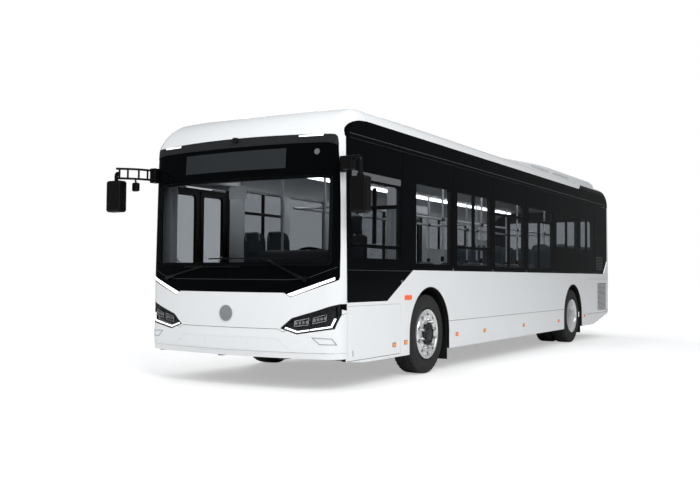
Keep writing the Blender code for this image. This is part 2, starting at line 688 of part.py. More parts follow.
def build_front_axle():
    """A drop beam with an eye at each end, and a steering knuckle round each eye."""
    half = [(0.0, BEAM_Z - 0.045), (0.54, BEAM_Z - 0.045), (0.70, 0.230), (0.80, 0.330), (0.82, EYE_LOW),
            (KINGPIN_X, EYE_LOW), (KINGPIN_X, EYE_HIGH), (0.74, EYE_HIGH), (0.66, 0.430), (0.62, 0.310),
            (0.57, 0.2597), (0.0, 0.2597)]
    loop = half[1:-1] + [(-u, v) for u, v in half[-2:0:-1]]
    beam = outline("front_axle", [loop], FRONT_VIEW, 0, 2 * BEAM_HALF, "frame_steel")
    for side, sign in (("left", 1), ("right", -1)):
        x = sign * KINGPIN_X
        join(beam, rod("eye_" + side, (x, 0, EYE_LOW), (x, 0, EYE_HIGH), BEAM_HALF, 24))
        join(beam, box("pad_" + side, (sign * PAD_X - 0.05, -BEAM_HALF, 0.250),
                       (sign * PAD_X + 0.05, BEAM_HALF, RAIL_LOW_Z - GAP)))
    for side, sign in (("left", 1), ("right", -1)):
        x = sign * KINGPIN_X
        cut(beam, rod("bore_" + side, (x, 0, EYE_LOW - 0.02), (x, 0, EYE_HIGH + 0.02), 0.0208, 24))
        reach = sorted((x - sign * 0.035, x + sign * 0.075))
        knuckle = box("knuckle_" + side, (reach[0], -0.055, 0.345), (reach[1], 0.055, 0.615), "frame_steel")
        gap = sorted((x - sign * 0.060, x + sign * 0.050))
        cut(knuckle, box("knuckle_gap_" + side, (gap[0], -0.08, EYE_LOW - 0.0006),
                         (gap[1], 0.08, EYE_HIGH + 0.0006)))
        join(knuckle, rod("kingpin_" + side, (x, 0, 0.350), (x, 0, 0.610), 0.020, 12))
        join(knuckle, rod("spindle_" + side, (x + sign * 0.070, 0, CENTRE_Z),
                          (sign * (TRACK_X + 0.125), 0, CENTRE_Z), SPINDLE_RADIUS, 16))


def build_rear_axle():
    """The driven axle: spindles, tube and centre housing in one turned piece, and its motor."""
    end = TRACK_X - TWIN_SPACING / 2 + 0.080
    neck = TRACK_X - TWIN_SPACING / 2 - 0.110
    half = [(end, 0.0), (end, SPINDLE_RADIUS), (neck, SPINDLE_RADIUS), (neck, 0.080), (0.240, 0.080),
            (0.150, 0.185)]
    profile = half + [(-reach, radius) for reach, radius in half[::-1]]
    axle = turned("rear_axle", profile, "frame_steel", (0, WHEELBASE, CENTRE_Z), steps=16)
    for side, sign in (("left", 1), ("right", -1)):
        join(axle, box("rear_pad_" + side, (sign * PAD_X - 0.05, WHEELBASE - 0.06, CENTRE_Z),
                       (sign * PAD_X + 0.05, WHEELBASE + 0.06, REAR_RAIL_Z - GAP)))
    motor = (PAD_X - RAIL_HALF - GAP, 0.55)
    box("traction_motor", (-motor[0], WHEELBASE + 0.28, 0.400),
        (motor[0], WHEELBASE + 0.28 + motor[1], RAIL_TOP_REAR), "frame_steel", bevel=0.03)


FLOOR_THICK = 0.030
STEP_S, STEP_DEPTH, STEP_Z = 4.980, 0.270, 0.590
FLOOR_FRONT_S, DECK_REAR_S = -1.930, 8.290
HOUSE_X = 0.565
HOUSE_HALF = 0.620
HOUSE_WALL = 0.020
HOUSE_CENTRE_Z = 0.470
CAB_FLOOR_Z = 0.600
CAB_S = (-1.600, -0.640)
STEP_UNDER_Z = STEP_Z - FLOOR_THICK - GAP
RAIL_TOP_REAR = DECK_Z - FLOOR_THICK - GAP
RAIL_HALF = 0.030


JACK_S = (0.700, 5.620)
JACK_DEPTH = 0.012


def build_chassis():
    """Two rails that step up over the rear axle, joined by cross members, with jacking pads under them."""
    step_back = STEP_S + STEP_DEPTH + FLOOR_THICK
    loop = [(-1.90, RAIL_LOW_Z), (4.95, RAIL_LOW_Z), (5.40, REAR_RAIL_Z), (8.26, REAR_RAIL_Z),
            (8.26, RAIL_TOP_REAR), (step_back + GAP, RAIL_TOP_REAR), (step_back + GAP, STEP_UNDER_Z),
            (STEP_S + FLOOR_THICK + 0.19, STEP_UNDER_Z), (STEP_S + FLOOR_THICK, RAIL_HIGH_Z),
            (-1.90, RAIL_HIGH_Z)]
    frame = outline("chassis_frame", [loop], SIDE_VIEW, PAD_X, 2 * RAIL_HALF, "frame_steel")
    join(frame, outline("rail_right", [loop], SIDE_VIEW, -PAD_X, 2 * RAIL_HALF))
    side_x = HALF - WALL - GAP
    for number, (s, low, high, reach) in enumerate((
            (-1.70, 0.285, RAIL_HIGH_Z, side_x), (-0.80, 0.285, RAIL_HIGH_Z, side_x),
            (0.85, 0.285, RAIL_HIGH_Z, side_x), (2.20, 0.285, RAIL_HIGH_Z, side_x),
            (3.50, 0.285, RAIL_HIGH_Z, side_x), (4.70, 0.285, RAIL_HIGH_Z, side_x),
            (5.44, 0.640, RAIL_TOP_REAR, PAD_X), (7.10, 0.640, RAIL_TOP_REAR, side_x),
            (8.10, 0.640, RAIL_TOP_REAR, side_x))):
        join(frame, box("member_%d" % number, (-reach, s - 0.03, low), (reach, s + 0.03, high)))
    for row, s, z in (("front", JACK_S[0], RAIL_LOW_Z), ("rear", JACK_S[1], REAR_RAIL_Z)):
        for x in (PAD_X, -PAD_X):
            join(frame, box("jack_pad_" + row, (x - 0.05, s - 0.05, z - JACK_DEPTH),
                            (x + 0.05, s + 0.05, z + 0.02)))


def build_floor():
    """The low floor, the steps up and the rear deck, open over each wheelhouse."""
    under = FLOOR_Z - FLOOR_THICK
    deck_s = STEP_S + STEP_DEPTH
    loop = [(FLOOR_FRONT_S, FLOOR_Z), (STEP_S, FLOOR_Z), (STEP_S, STEP_Z), (deck_s, STEP_Z), (deck_s, DECK_Z),
            (DECK_REAR_S, DECK_Z), (DECK_REAR_S, DECK_Z - FLOOR_THICK),
            (deck_s + FLOOR_THICK, DECK_Z - FLOOR_THICK), (deck_s + FLOOR_THICK, STEP_Z - FLOOR_THICK),
            (STEP_S + FLOOR_THICK, STEP_Z - FLOOR_THICK), (STEP_S + FLOOR_THICK, under),
            (FLOOR_FRONT_S, under)]
    width = 2 * (HALF - WALL - GAP)
    floor = outline("saloon_floor", [loop], SIDE_VIEW, 0, width, "floor_grey")
    join(floor, box("cab_platform", (STEERING_X - 0.20, CAB_S[0], FLOOR_Z - 0.01),
                    (HALF - WALL - GAP, CAB_S[1], CAB_FLOOR_Z)))
    for axle_s, row in ((0, "front"), (WHEELBASE + REAR_ARCH_SHIFT, "rear")):
        for side, sign in (("left", 1), ("right", -1)):
            inner, outer = sorted((sign * HOUSE_X, sign * (HALF - WALL - GAP)))
            name = "wheelhouse_%s_%s" % (row, side)
            foot = FLOOR_Z - FLOOR_THICK if row == "front" else REAR_RAIL_Z
            shape = ([(axle_s - HOUSE_HALF, foot)] + arc(axle_s, HOUSE_CENTRE_Z, HOUSE_HALF, 180, 0, 10)
                     + [(axle_s + HOUSE_HALF, foot)])
            if row == "rear":
                shape = [point for point in shape if point[1] >= foot]
            join(floor, outline(name, [shape], SIDE_VIEW, (inner + outer) / 2, outer - inner))
            span = HOUSE_HALF - HOUSE_WALL
            inside = ([(axle_s - span, 0.1)] + arc(axle_s, HOUSE_CENTRE_Z, span, 180, 0, 10)
                      + [(axle_s + span, 0.1)])
            depth = HALF - HOUSE_X
            cut(floor, outline(name + "_inside", [inside], SIDE_VIEW,
                               sign * (HOUSE_X + HOUSE_WALL + depth / 2), depth))


# Doors

LEAF_X = -(HALF - RUN_GAP - DOOR_LEAF / 2)
LOW_ARM_Z = FLOOR_Z + 0.006
LEAF_LOW_Z = LOW_ARM_Z + ARM_THICK + 0.006
HIGH_ARM_Z = DOOR_HEAD_Z - 0.010 - ARM_THICK
LEAF_HIGH_Z = HIGH_ARM_Z - 0.006
ARM_HALF = 0.014
PANE_EDGE = 0.075
PANE_LOW, PANE_HIGH = 0.110, 0.090
PANE_THICK = 0.006


def build_door(door, low, high):
    """Two leaves, each turning on the middle of an arm pair that swings from a post at the jamb."""
    first = low + RUN_GAP + POST_RADIUS
    last = high - RUN_GAP - POST_RADIUS
    arm = (last - first) / 4
    for leaf_name, post_s, sign in (("front", first, 1), ("rear", last, -1)):
        name = "%s_%s_leaf" % (door, leaf_name)
        post = rod(name.replace("leaf", "post"), (LEAF_X, post_s, FLOOR_Z + GAP),
                   (LEAF_X, post_s, DOOR_HEAD_Z - GAP), POST_RADIUS, 12, "black_plastic")
        hinge_s = post_s + sign * arm
        for label, z, boss in (("low", LOW_ARM_Z, (0, ARM_THICK + 0.006 - GAP)),
                               ("high", HIGH_ARM_Z, (GAP - 0.006, ARM_THICK))):
            ends = sorted((post_s, hinge_s + sign * ARM_HALF))
            join(post, box(name + "_arm_" + label, (LEAF_X - ARM_HALF, ends[0], z),
                           (LEAF_X + ARM_HALF, ends[1], z + ARM_THICK)))
            join(post, rod(name + "_boss_" + label, (LEAF_X, hinge_s, z + boss[0]),
                           (LEAF_X, hinge_s, z + boss[1]), 0.010, 8))
        ends = sorted((post_s + sign * (POST_RADIUS + RUN_GAP + 0.001), hinge_s + sign * (arm - 0.003)))
        half = DOOR_LEAF / 2
        leaf = box(name, (LEAF_X - half, ends[0], LEAF_LOW_Z), (LEAF_X + half, ends[1], LEAF_HIGH_Z),
                   "black_glass")
        for face, side in (("outer", -1), ("inner", 1)):
            faces = sorted((LEAF_X + side * PANE_THICK / 2, LEAF_X + side * (half + 0.01)))
            middle = sum(faces) / 2
            loop = rounded(ends[0] + PANE_EDGE, LEAF_LOW_Z + PANE_LOW, ends[1] - PANE_EDGE,
                           LEAF_HIGH_Z - PANE_HIGH)
            cut(leaf, outline("%s_%s_pane" % (name, face), [loop], SIDE_VIEW, middle, faces[1] - faces[0]))


build_wheels()
build_front_axle()
build_rear_axle()
build_chassis()
build_floor()
build_door("front_door", *FRONT_DOOR)
build_door("middle_door", *MIDDLE_DOOR)


# Service flaps, hinged along their top outer edges

FLAP_THICK = 0.025
FLAP_SEAT = 0.045
# Flaps: (name, side, front, rear, low, high)
FLAPS = (("left_front_flap", 1, -1.945, -0.775, 0.300, 0.863),
         ("left_rear_flap", 1, 6.840, 8.300, 0.480, 1.145),
         ("right_rear_flap", -1, 6.840, 8.300, 0.480, 1.145))


def build_flaps():
    for name, sign, front, rear, low, high in FLAPS:
        wall = bpy.data.objects["left_wall" if sign > 0 else "right_wall"]
        seat = sorted((sign * (HALF - FLAP_SEAT), sign * (HALF + WALL)))
        cut(wall, box(name + "_seat", (seat[0], front, low), (seat[1], rear, high)))
        faces = sorted((sign * (HALF - FLAP_THICK), sign * HALF))
        box(name, (faces[0], front + RUN_GAP, low + RUN_GAP), (faces[1], rear - RUN_GAP, high - GAP),
            "white_paint")


# Mirrors and wipers

MIRROR_ARM = 0.020
# Mirrors: (side, sign, head low corner, head high corner, arm points); x is given for the left side
MIRRORS = (("left", 1, (1.420, -2.190, 1.800), (MIRROR_REACH, -2.060, 2.170),
            ((1.180, -2.060, 2.310), (1.350, -2.210, 2.310), (1.500, -2.140, 2.310), (1.500, -2.125, 2.100))),
           ("right", -1, (1.400, -FRONT_MOST, 1.880), (MIRROR_REACH, 0.135 - FRONT_MOST, 2.240),
            ((1.180, -2.060, 2.310), (1.300, -2.380, 2.330), (1.500, -2.505, 2.330), (1.500, -2.505, 2.150))))
WIPER_PIVOT_Z = 1.140
WIPER_RADIUS = 0.010
# Wipers: (side, pivot x, arm tip x, arm tip z, blade from x, blade to x)
WIPERS = (("left", 0.930, 0.480, 1.350, -0.250, 0.680), ("right", -0.930, -0.350, 1.265, -0.620, 0.180))


def on_front(x, z, proud):
    """A point that stands proud of the front skin."""
    reach = FRONT_OVERHANG - FRONT_BOW * x ** 2 - blend_table(FRONT_LEAN, z)
    return (x, -reach - proud, z)


def front_seat(name):
    """A cutter with the front skin's shape, a hair larger, that arms are seated against."""
    skins = [[front_row(z, inset) for z in (*FRONT_ROWS, None)] for inset in (-SEAT_GAP, 0.10)]
    return shell(name, *skins)


def build_mirrors():
    for side, sign, low, high, arm in MIRRORS:
        xs = sorted((sign * low[0], sign * high[0]))
        head = box("mirror_" + side, (xs[0], low[1], low[2]), (xs[1], high[1], high[2]), "black_plastic",
                   bevel=0.030)
        join(head, tube("mirror_arm_" + side, [(sign * x, s, z) for x, s, z in arm], MIRROR_ARM, sides=1))
        cut(head, front_seat("mirror_seat_" + side))


def build_wipers():
    for side, pivot_x, tip_x, tip_z, blade_from, blade_to in WIPERS:
        points = [on_front(pivot_x, WIPER_PIVOT_Z, -0.020), on_front(pivot_x, WIPER_PIVOT_Z, 0.035),
                  on_front(tip_x, tip_z, 0.030)]
        arm = tube("wiper_" + side, points, WIPER_RADIUS, "black_plastic", sides=1)
        steps = [blade_from + (blade_to - blade_from) * i / 4 for i in range(5)]
        join(arm, tube("wiper_blade_" + side, [on_front(x, tip_z, 0.020) for x in steps], 0.012, sides=1))
        cut(arm, front_seat("wiper_seat_" + side))


# Cab

DASH_FRONT_INSET = 0.085
DASH_REAR_S, COWL_REAR_S = -1.700, -1.950
BINNACLE_Z = 1.400
STEERING_CENTRE = Vector((STEERING_X, -1.500, 1.370))
STEERING_AXIS = Vector((0, sin(radians(27)), cos(radians(27))))
STEERING_RADIUS = 0.225


def build_dashboard():
    plan = [(x, -reach) for x, reach in mirrored(end_plan(FRONT_OVERHANG, FRONT_BOW, CORNER_RADIUS,
                                                           -COWL_REAR_S, DASH_FRONT_INSET))]
    cab_x = STEERING_X - 0.42
    loop = plan + [(plan[-1][0], DASH_REAR_S), (cab_x, DASH_REAR_S), (cab_x, COWL_REAR_S)]
    dash = outline("dashboard", [loop], PLAN_VIEW, (FLOOR_Z + GAP + DASH_Z) / 2, DASH_Z - FLOOR_Z - GAP,
                   "black_plastic")
    join(dash, box("binnacle", (STEERING_X - 0.33, -2.02, DASH_Z - 0.05),
                   (STEERING_X + 0.40, -1.66, BINNACLE_Z), bevel=0.05))
    join(dash, rod("column", STEERING_CENTRE - STEERING_AXIS * 0.030, STEERING_CENTRE - STEERING_AXIS * 0.62,
                   0.030))
    bpy.ops.mesh.primitive_torus_add(major_radius=STEERING_RADIUS, minor_radius=0.016, major_segments=24,
                                     minor_segments=6)
    ring = bpy.context.object
    mesh = ring.data
    bpy.data.objects.remove(ring, do_unlink=True)
    turn = STEERING_AXIS.to_track_quat("Z", "Y").to_euler()
    wheel = place("steering_wheel", mesh, "black_plastic", STEERING_CENTRE, turn)
    join(wheel, rod("steering_boss", STEERING_CENTRE - STEERING_AXIS * 0.0295,
                    STEERING_CENTRE + STEERING_AXIS * 0.020, 0.050))
    across, along = Vector((1, 0, 0)), STEERING_AXIS.cross(Vector((1, 0, 0)))
    for number, angle in enumerate((352, 188, 270)):
        reach = (across * cos(radians(angle)) + along * sin(radians(angle))) * (STEERING_RADIUS - 0.004)
        join(wheel, rod("spoke_%d" % number, STEERING_CENTRE, STEERING_CENTRE + reach, 0.012, 6))


def build_cab():
    """Driver's seat and the partition behind it."""
    base = CAB_FLOOR_Z + GAP
    x, s = STEERING_X, -1.080
    seat = box("driver_seat", (x - 0.25, s - 0.26, base + 0.36), (x + 0.25, s + 0.24, base + 0.47),
               "seat_shell", bevel=0.03)
    join(seat, box("seat_pedestal", (x - 0.16, s - 0.16, base), (x + 0.16, s + 0.16, base + 0.38)))
    join(seat, box("seat_back", (x - 0.24, s + 0.17, base + 0.40), (x + 0.24, s + 0.28, base + 1.05),
                   bevel=0.03))
    join(seat, box("head_rest", (x - 0.13, s + 0.19, base + 1.02), (x + 0.13, s + 0.27, base + 1.24),
                   bevel=0.02))
    box("driver_partition", (x - 0.18, -0.690, base), (HALF - WALL - GAP, -0.655, 2.000), "black_plastic")


# Saloon

SEAT_LOW_X, SEAT_HIGH_X = 0.430, 1.180
SEAT_HEIGHT, BACK_HEIGHT = 0.440, 0.560
WALL_RAIL_Z = 1.150
LOW_ROWS = (0.98, 1.74, 2.50, 3.26, 4.02)
DECK_ROWS = (5.90, 6.74, 7.42)
BENCH_S = 7.990


def seat_pair(body, name, low_x, high_x, s, floor_z):
    """One pair of seats joined onto its rail. One over a wheel stands on the wheelhouse."""
    top = floor_z + SEAT_HEIGHT
    over_wheel = abs(s - WHEELBASE - REAR_ARCH_SHIFT) < HOUSE_HALF / 2
    foot = HOUSE_CENTRE_Z + HOUSE_HALF + GAP if over_wheel else floor_z + GAP
    join(body, box(name + "_cushion", (low_x, s - 0.22, top - 0.06), (high_x, s + 0.20, top)))
    join(body, box(name + "_back", (low_x, s + 0.18, top - 0.05), (high_x, s + 0.24, top + BACK_HEIGHT)))
    middle = (low_x + high_x) / 2
    join(body, box(name + "_leg", (middle - 0.05, s - 0.10, foot), (middle + 0.05, s + 0.10, top - 0.05)))


def build_seats():
    wall_x = HALF - WALL - 0.003
    for name, sign, from_s, to_s, low_rows, deck_rows, bench in (
            ("seats_left", 1, 0.70, 8.20, LOW_ROWS, DECK_ROWS, True),
            ("seats_right_front", -1, 0.70, 2.80, LOW_ROWS[:3], (), False),
            ("seats_right_rear", -1, 5.40, 7.60, (), DECK_ROWS, False)):
        xs = sorted((sign * (wall_x - 0.035), sign * wall_x))
        rail_z = WALL_RAIL_Z
        rail = box(name, (xs[0] - (0.02 if sign > 0 else 0), from_s, rail_z),
                   (xs[1] + (0.02 if sign < 0 else 0), to_s, rail_z + 0.035), "seat_shell")
        low_x, high_x = sorted((sign * SEAT_LOW_X, sign * SEAT_HIGH_X))
        for rows, floor_z in ((low_rows, FLOOR_Z), (deck_rows, DECK_Z)):
            for number, s in enumerate(rows):
                seat_pair(rail, "%s_%d_%d" % (name, floor_z * 100, number), low_x, high_x, s, floor_z)
        if bench:
            seat_pair(rail, "rear_bench", -SEAT_HIGH_X, SEAT_HIGH_X, BENCH_S, DECK_Z)


POLE_X = 0.395
POLE_RADIUS = 0.016
BAR_Z = 2.030
# Poles: (side, station)
LEFT_POLES = (0.72, 2.24, 3.76, 5.46, 7.00)
RIGHT_POLES = (0.72, 2.24, 3.40, 5.00, 5.46, 7.00)


def build_handrails():
    ends = (-0.52, 7.60)
    bars = rod("handrails", (POLE_X, ends[0], BAR_Z), (POLE_X, ends[1], BAR_Z), RAIL_RADIUS, 8, "rail_steel")
    join(bars, rod("bar_right", (-POLE_X, ends[0], BAR_Z), (-POLE_X, ends[1], BAR_Z), RAIL_RADIUS, 8))
    for number, s in enumerate((-0.44, 3.58, 7.50)):
        join(bars, rod("bar_across_%d" % number, (-POLE_X, s, BAR_Z - 0.002), (POLE_X, s, BAR_Z - 0.002),
                       POLE_RADIUS, 6))
    for sign, poles in ((1, LEFT_POLES), (-1, RIGHT_POLES)):
        for number, s in enumerate(poles):
            foot = (FLOOR_Z if s < STEP_S else STEP_Z if s < STEP_S + STEP_DEPTH else DECK_Z) + GAP
            join(bars, rod("pole_%d_%d" % (sign, number), (sign * POLE_X, s, foot),
                           (sign * POLE_X, s, BAR_Z + 0.003), POLE_RADIUS, 6))


build_flaps()
build_mirrors()
build_wipers()
build_dashboard()
build_cab()
build_seats()
build_handrails()
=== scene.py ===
"""A low-entry city bus with its finished outside, glazing, wheels, lamps and saloon."""
from bisect import bisect_right
import json
from math import asin, atan, cos, pi, radians, sin, sqrt

import bpy
from bpy.props import FloatProperty, FloatVectorProperty, IntProperty, PointerProperty
from mathutils import Matrix, Vector

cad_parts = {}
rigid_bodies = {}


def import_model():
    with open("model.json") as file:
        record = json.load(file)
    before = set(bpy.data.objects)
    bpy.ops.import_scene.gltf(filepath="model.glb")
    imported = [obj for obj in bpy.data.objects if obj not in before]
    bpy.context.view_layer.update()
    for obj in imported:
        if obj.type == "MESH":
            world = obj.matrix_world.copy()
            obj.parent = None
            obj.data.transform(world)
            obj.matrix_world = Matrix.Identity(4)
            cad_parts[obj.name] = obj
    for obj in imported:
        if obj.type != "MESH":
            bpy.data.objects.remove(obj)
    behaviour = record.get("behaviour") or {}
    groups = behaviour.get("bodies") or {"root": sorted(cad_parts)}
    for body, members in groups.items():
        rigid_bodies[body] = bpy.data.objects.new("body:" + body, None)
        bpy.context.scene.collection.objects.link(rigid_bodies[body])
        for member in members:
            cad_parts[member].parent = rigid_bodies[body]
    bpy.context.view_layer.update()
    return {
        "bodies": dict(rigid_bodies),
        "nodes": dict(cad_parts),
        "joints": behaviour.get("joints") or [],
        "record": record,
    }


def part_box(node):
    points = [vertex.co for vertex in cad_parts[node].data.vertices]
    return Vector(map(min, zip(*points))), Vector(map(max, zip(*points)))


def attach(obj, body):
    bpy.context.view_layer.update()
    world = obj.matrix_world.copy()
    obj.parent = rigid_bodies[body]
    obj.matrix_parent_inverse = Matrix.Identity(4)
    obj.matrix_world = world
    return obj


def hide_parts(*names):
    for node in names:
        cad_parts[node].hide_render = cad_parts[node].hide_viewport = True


bl_info = {
    "name": "City Bus",
    "version": (1, 0, 0),
    "blender": (4, 5, 0),
    "location": "View3D > Sidebar > Bus",
    "description": "Builds a low-entry city bus on its packed frame",
    "category": "Add Mesh",
}

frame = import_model()
NODES = frame["nodes"]
JOINTS = {joint["name"]: joint for joint in frame["joints"]}

# The bus: stations (s) run back from the front axle, x is to the bus's left
AXLE_Y = JOINTS["steer_left"]["pos_m"][1]
REAR_AXLE_S = JOINTS["rear_wheel_left_spin"]["pos_m"][1] - AXLE_Y
SIDE_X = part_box("left_glazing")[1].x
EAVE_Z = 2.6
FRONT_THICK, SIDE_DEPTH, SIDE_THICK = 0.012, 0.0008, 0.01
ROOF_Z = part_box("roof")[1].z
FRONT_REACH = 2.323
FRONT_SEAM_S, REAR_SEAM_S = -1.96, 8.34
REAR_REACH = 8.53
FLOOR_Z, DECK_Z = 0.38, 0.8
BODY = "body"
SIDES = (("left", 1), ("right", -1))


# Sizes and colours that a user would change

class BusSizes(bpy.types.PropertyGroup):
    seam: FloatProperty(
        name="Panel Seam", description="Gap between two body panels",
        default=0.005, min=0.001, max=0.01, unit="LENGTH")
    edge: FloatProperty(
        name="Panel Edge", description="Radius of a body panel's folded edge",
        default=0.0025, min=0.0005, max=0.006, unit="LENGTH")
    wheel_nuts: IntProperty(
        name="Wheel Nuts", description="Nuts, hub bolts and hand holes of each wheel",
        default=10, min=6, max=12)


class BusColours(bpy.types.PropertyGroup):
    body: FloatVectorProperty(
        name="Body", description="Body paint", subtype="COLOR", size=3,
        default=(0.86, 0.875, 0.885), min=0, max=1)
    glass: FloatVectorProperty(
        name="Glass Tint", description="What the window glass lets through", subtype="COLOR", size=3,
        default=(0.42, 0.44, 0.46), min=0, max=1)
    seat: FloatVectorProperty(
        name="Seats", description="Seat shells", subtype="COLOR", size=3,
        default=(0.045, 0.06, 0.07), min=0, max=1)
    marker: FloatVectorProperty(
        name="Markers", description="Side marker lamps", subtype="COLOR", size=3,
        default=(0.9, 0.24, 0.02), min=0, max=1)


def sizes():
    return bpy.context.scene.bus_sizes


def colours():
    return bpy.context.scene.bus_colours


# Finishes

def node(tree, kind, **values):
    made = tree.nodes.new(kind)
    for key, value in values.items():
        if hasattr(made, key):
            setattr(made, key, value)
        else:
            made.inputs[key.replace("_", " ")].default_value = value
    return made


def noise(tree, scale, detail=4.0, stretch=None):
    """Noise on Object coordinates, stretched along an axis where the grain runs."""
    place = node(tree, "ShaderNodeTexCoord")
    field = node(tree, "ShaderNodeTexNoise", Scale=scale, Detail=detail)
    if stretch:
        lay = node(tree, "ShaderNodeMapping")
        lay.inputs["Scale"].default_value = stretch
        tree.links.new(place.outputs["Object"], lay.inputs["Vector"])
        tree.links.new(lay.outputs["Vector"], field.inputs["Vector"])
    else:
        tree.links.new(place.outputs["Object"], field.inputs["Vector"])
    return field


def surface(name, colour, rough, metal=0.0, vary=0.06, cloud=1.5, rough_vary=0.06, grain=None, bump=0.0,
            coat=0.0, stretch=None, glow=0.0, shine=0.5):
    """A finish with faint cloudy colour, uneven gloss and a fine grain."""
    material = bpy.data.materials.get(name)
    if material:
        return material
    material = bpy.data.materials.new(name)
    material.use_nodes = True
    tree = material.node_tree
    shader = tree.nodes["Principled BSDF"]
    shader.inputs["Metallic"].default_value = metal
    shader.inputs["Coat Weight"].default_value = coat
    shader.inputs["Specular IOR Level"].default_value = shine
    clouds = noise(tree, cloud, stretch=stretch)
    tint = node(tree, "ShaderNodeMix", data_type="RGBA")
    tint.inputs[6].default_value = (*[max(0, c * (1 - vary)) for c in colour], 1)
    tint.inputs[7].default_value = (*[min(1, c * (1 + vary)) for c in colour], 1)
    tree.links.new(clouds.outputs["Fac"], tint.inputs["Factor"])
    tree.links.new(tint.outputs[2], shader.inputs["Base Color"])
    gloss = node(tree, "ShaderNodeMapRange")
    gloss.inputs["To Min"].default_value = max(0.02, rough - rough_vary)
    gloss.inputs["To Max"].default_value = min(1, rough + rough_vary)
    tree.links.new(clouds.outputs["Fac"], gloss.inputs["Value"])
    tree.links.new(gloss.outputs["Result"], shader.inputs["Roughness"])
    if grain:
        fine = noise(tree, grain, detail=2.0, stretch=stretch)
        relief = node(tree, "ShaderNodeBump", Strength=bump, Distance=0.002)
        tree.links.new(fine.outputs["Fac"], relief.inputs["Height"])
        tree.links.new(relief.outputs["Normal"], shader.inputs["Normal"])
    if glow:
        shader.inputs["Emission Color"].default_value = (*colour, 1)
        shader.inputs["Emission Strength"].default_value = glow
    return material


def glazing(name, tint, shine=1.0):
    """Thin tinted glass: mostly see-through, with a clear reflection that grows at a glance."""
    material = bpy.data.materials.get(name)
    if material:
        return material
    material = bpy.data.materials.new(name)
    material.use_nodes = True
    tree = material.node_tree
    gloss = tree.nodes["Principled BSDF"]
    gloss.inputs["Base Color"].default_value = (0.004, 0.005, 0.005, 1)
    gloss.inputs["Metallic"].default_value = 0
    gloss.inputs["Specular IOR Level"].default_value = 1.0
    streak = noise(tree, 3.0)
    rough = node(tree, "ShaderNodeMapRange")
    rough.inputs["To Min"].default_value = 0.02
    rough.inputs["To Max"].default_value = 0.07
    tree.links.new(streak.outputs["Fac"], rough.inputs["Value"])
    tree.links.new(rough.outputs["Result"], gloss.inputs["Roughness"])
    through = node(tree, "ShaderNodeBsdfTransparent")
    # A pane has two faces, and each lets through the root of what the pane does
    through.inputs["Color"].default_value = (*[sqrt(c) for c in tint], 1)
    glance = node(tree, "ShaderNodeFresnel", IOR=1.45)
    # A back face would mirror everything at a slant, so only front faces reflect
    facing = tree.nodes.new("ShaderNodeNewGeometry")
    outside = node(tree, "ShaderNodeMath", operation="SUBTRACT")
    outside.inputs[0].default_value = shine
    scaled = node(tree, "ShaderNodeMath", operation="MULTIPLY")
    scaled.inputs[1].default_value = shine
    level = node(tree, "ShaderNodeMath", operation="MULTIPLY", use_clamp=True)
    tree.links.new(facing.outputs["Backfacing"], scaled.inputs[0])
    tree.links.new(scaled.outputs["Value"], outside.inputs[1])
    tree.links.new(outside.outputs["Value"], level.inputs[1])
    mix = node(tree, "ShaderNodeMixShader")
    tree.links.new(glance.outputs["Fac"], level.inputs[0])
    tree.links.new(level.outputs["Value"], mix.inputs["Fac"])
    tree.links.new(through.outputs["BSDF"], mix.inputs[1])
    tree.links.new(gloss.outputs["BSDF"], mix.inputs[2])
    tree.links.new(mix.outputs["Shader"], tree.nodes["Material Output"].inputs["Surface"])
    return material


def finishes():
    """Every finish of the bus by its slot in the record."""
    paint = colours()
    return {
        "white_paint": surface("body_paint", paint.body, 0.26, vary=0.012, rough_vary=0.03, coat=0.35,
                               grain=420, bump=0.015),
        "black_glass": surface("bonded_black_glass", (0.0018, 0.0022, 0.0026), 0.1, vary=0.15,
                               rough_vary=0.03,
                               shine=0.03),
        "clear_glass": glazing("tinted_window_glass", paint.glass),
        "black_plastic": surface("moulded_black_plastic", (0.006, 0.006, 0.0065), 0.42, vary=0.15, grain=900,
                                 bump=0.12, shine=0.22),
        "frame_steel": surface("chassis_black_paint", (0.02, 0.021, 0.022), 0.5, metal=0.3, vary=0.2,
                               grain=160,
                               bump=0.1),
        "tyre_rubber": surface("tyre_rubber", (0.008, 0.008, 0.0085), 0.66, vary=0.2, cloud=9, grain=500,
                               bump=0.15, shine=0.25),
        "rim_alloy": surface("polished_forged_alloy", (0.86, 0.865, 0.87), 0.24, metal=0.62, vary=0.03,
                             cloud=14,
                             rough_vary=0.05, grain=700, bump=0.03),
        "lamp_lens": glazing("lamp_cover", (0.93, 0.94, 0.95), 1.2),
        "tail_lens": surface("red_lamp_cover", (0.42, 0.01, 0.008), 0.12, vary=0.2, cloud=40, coat=0.6),
        "floor_covering": surface("speckled_floor_covering", (0.115, 0.12, 0.125), 0.62, vary=0.35, cloud=220,
                                  grain=600, bump=0.12),
        "seat_shell": surface("seat_shell_plastic", paint.seat, 0.4, vary=0.1, grain=900, bump=0.1),
        "rail_steel": surface("brushed_rail_steel", (0.55, 0.56, 0.57), 0.34, metal=0.25, vary=0.05, cloud=5,
                              grain=900, bump=0.05, stretch=(1, 1, 0.05)),
    }


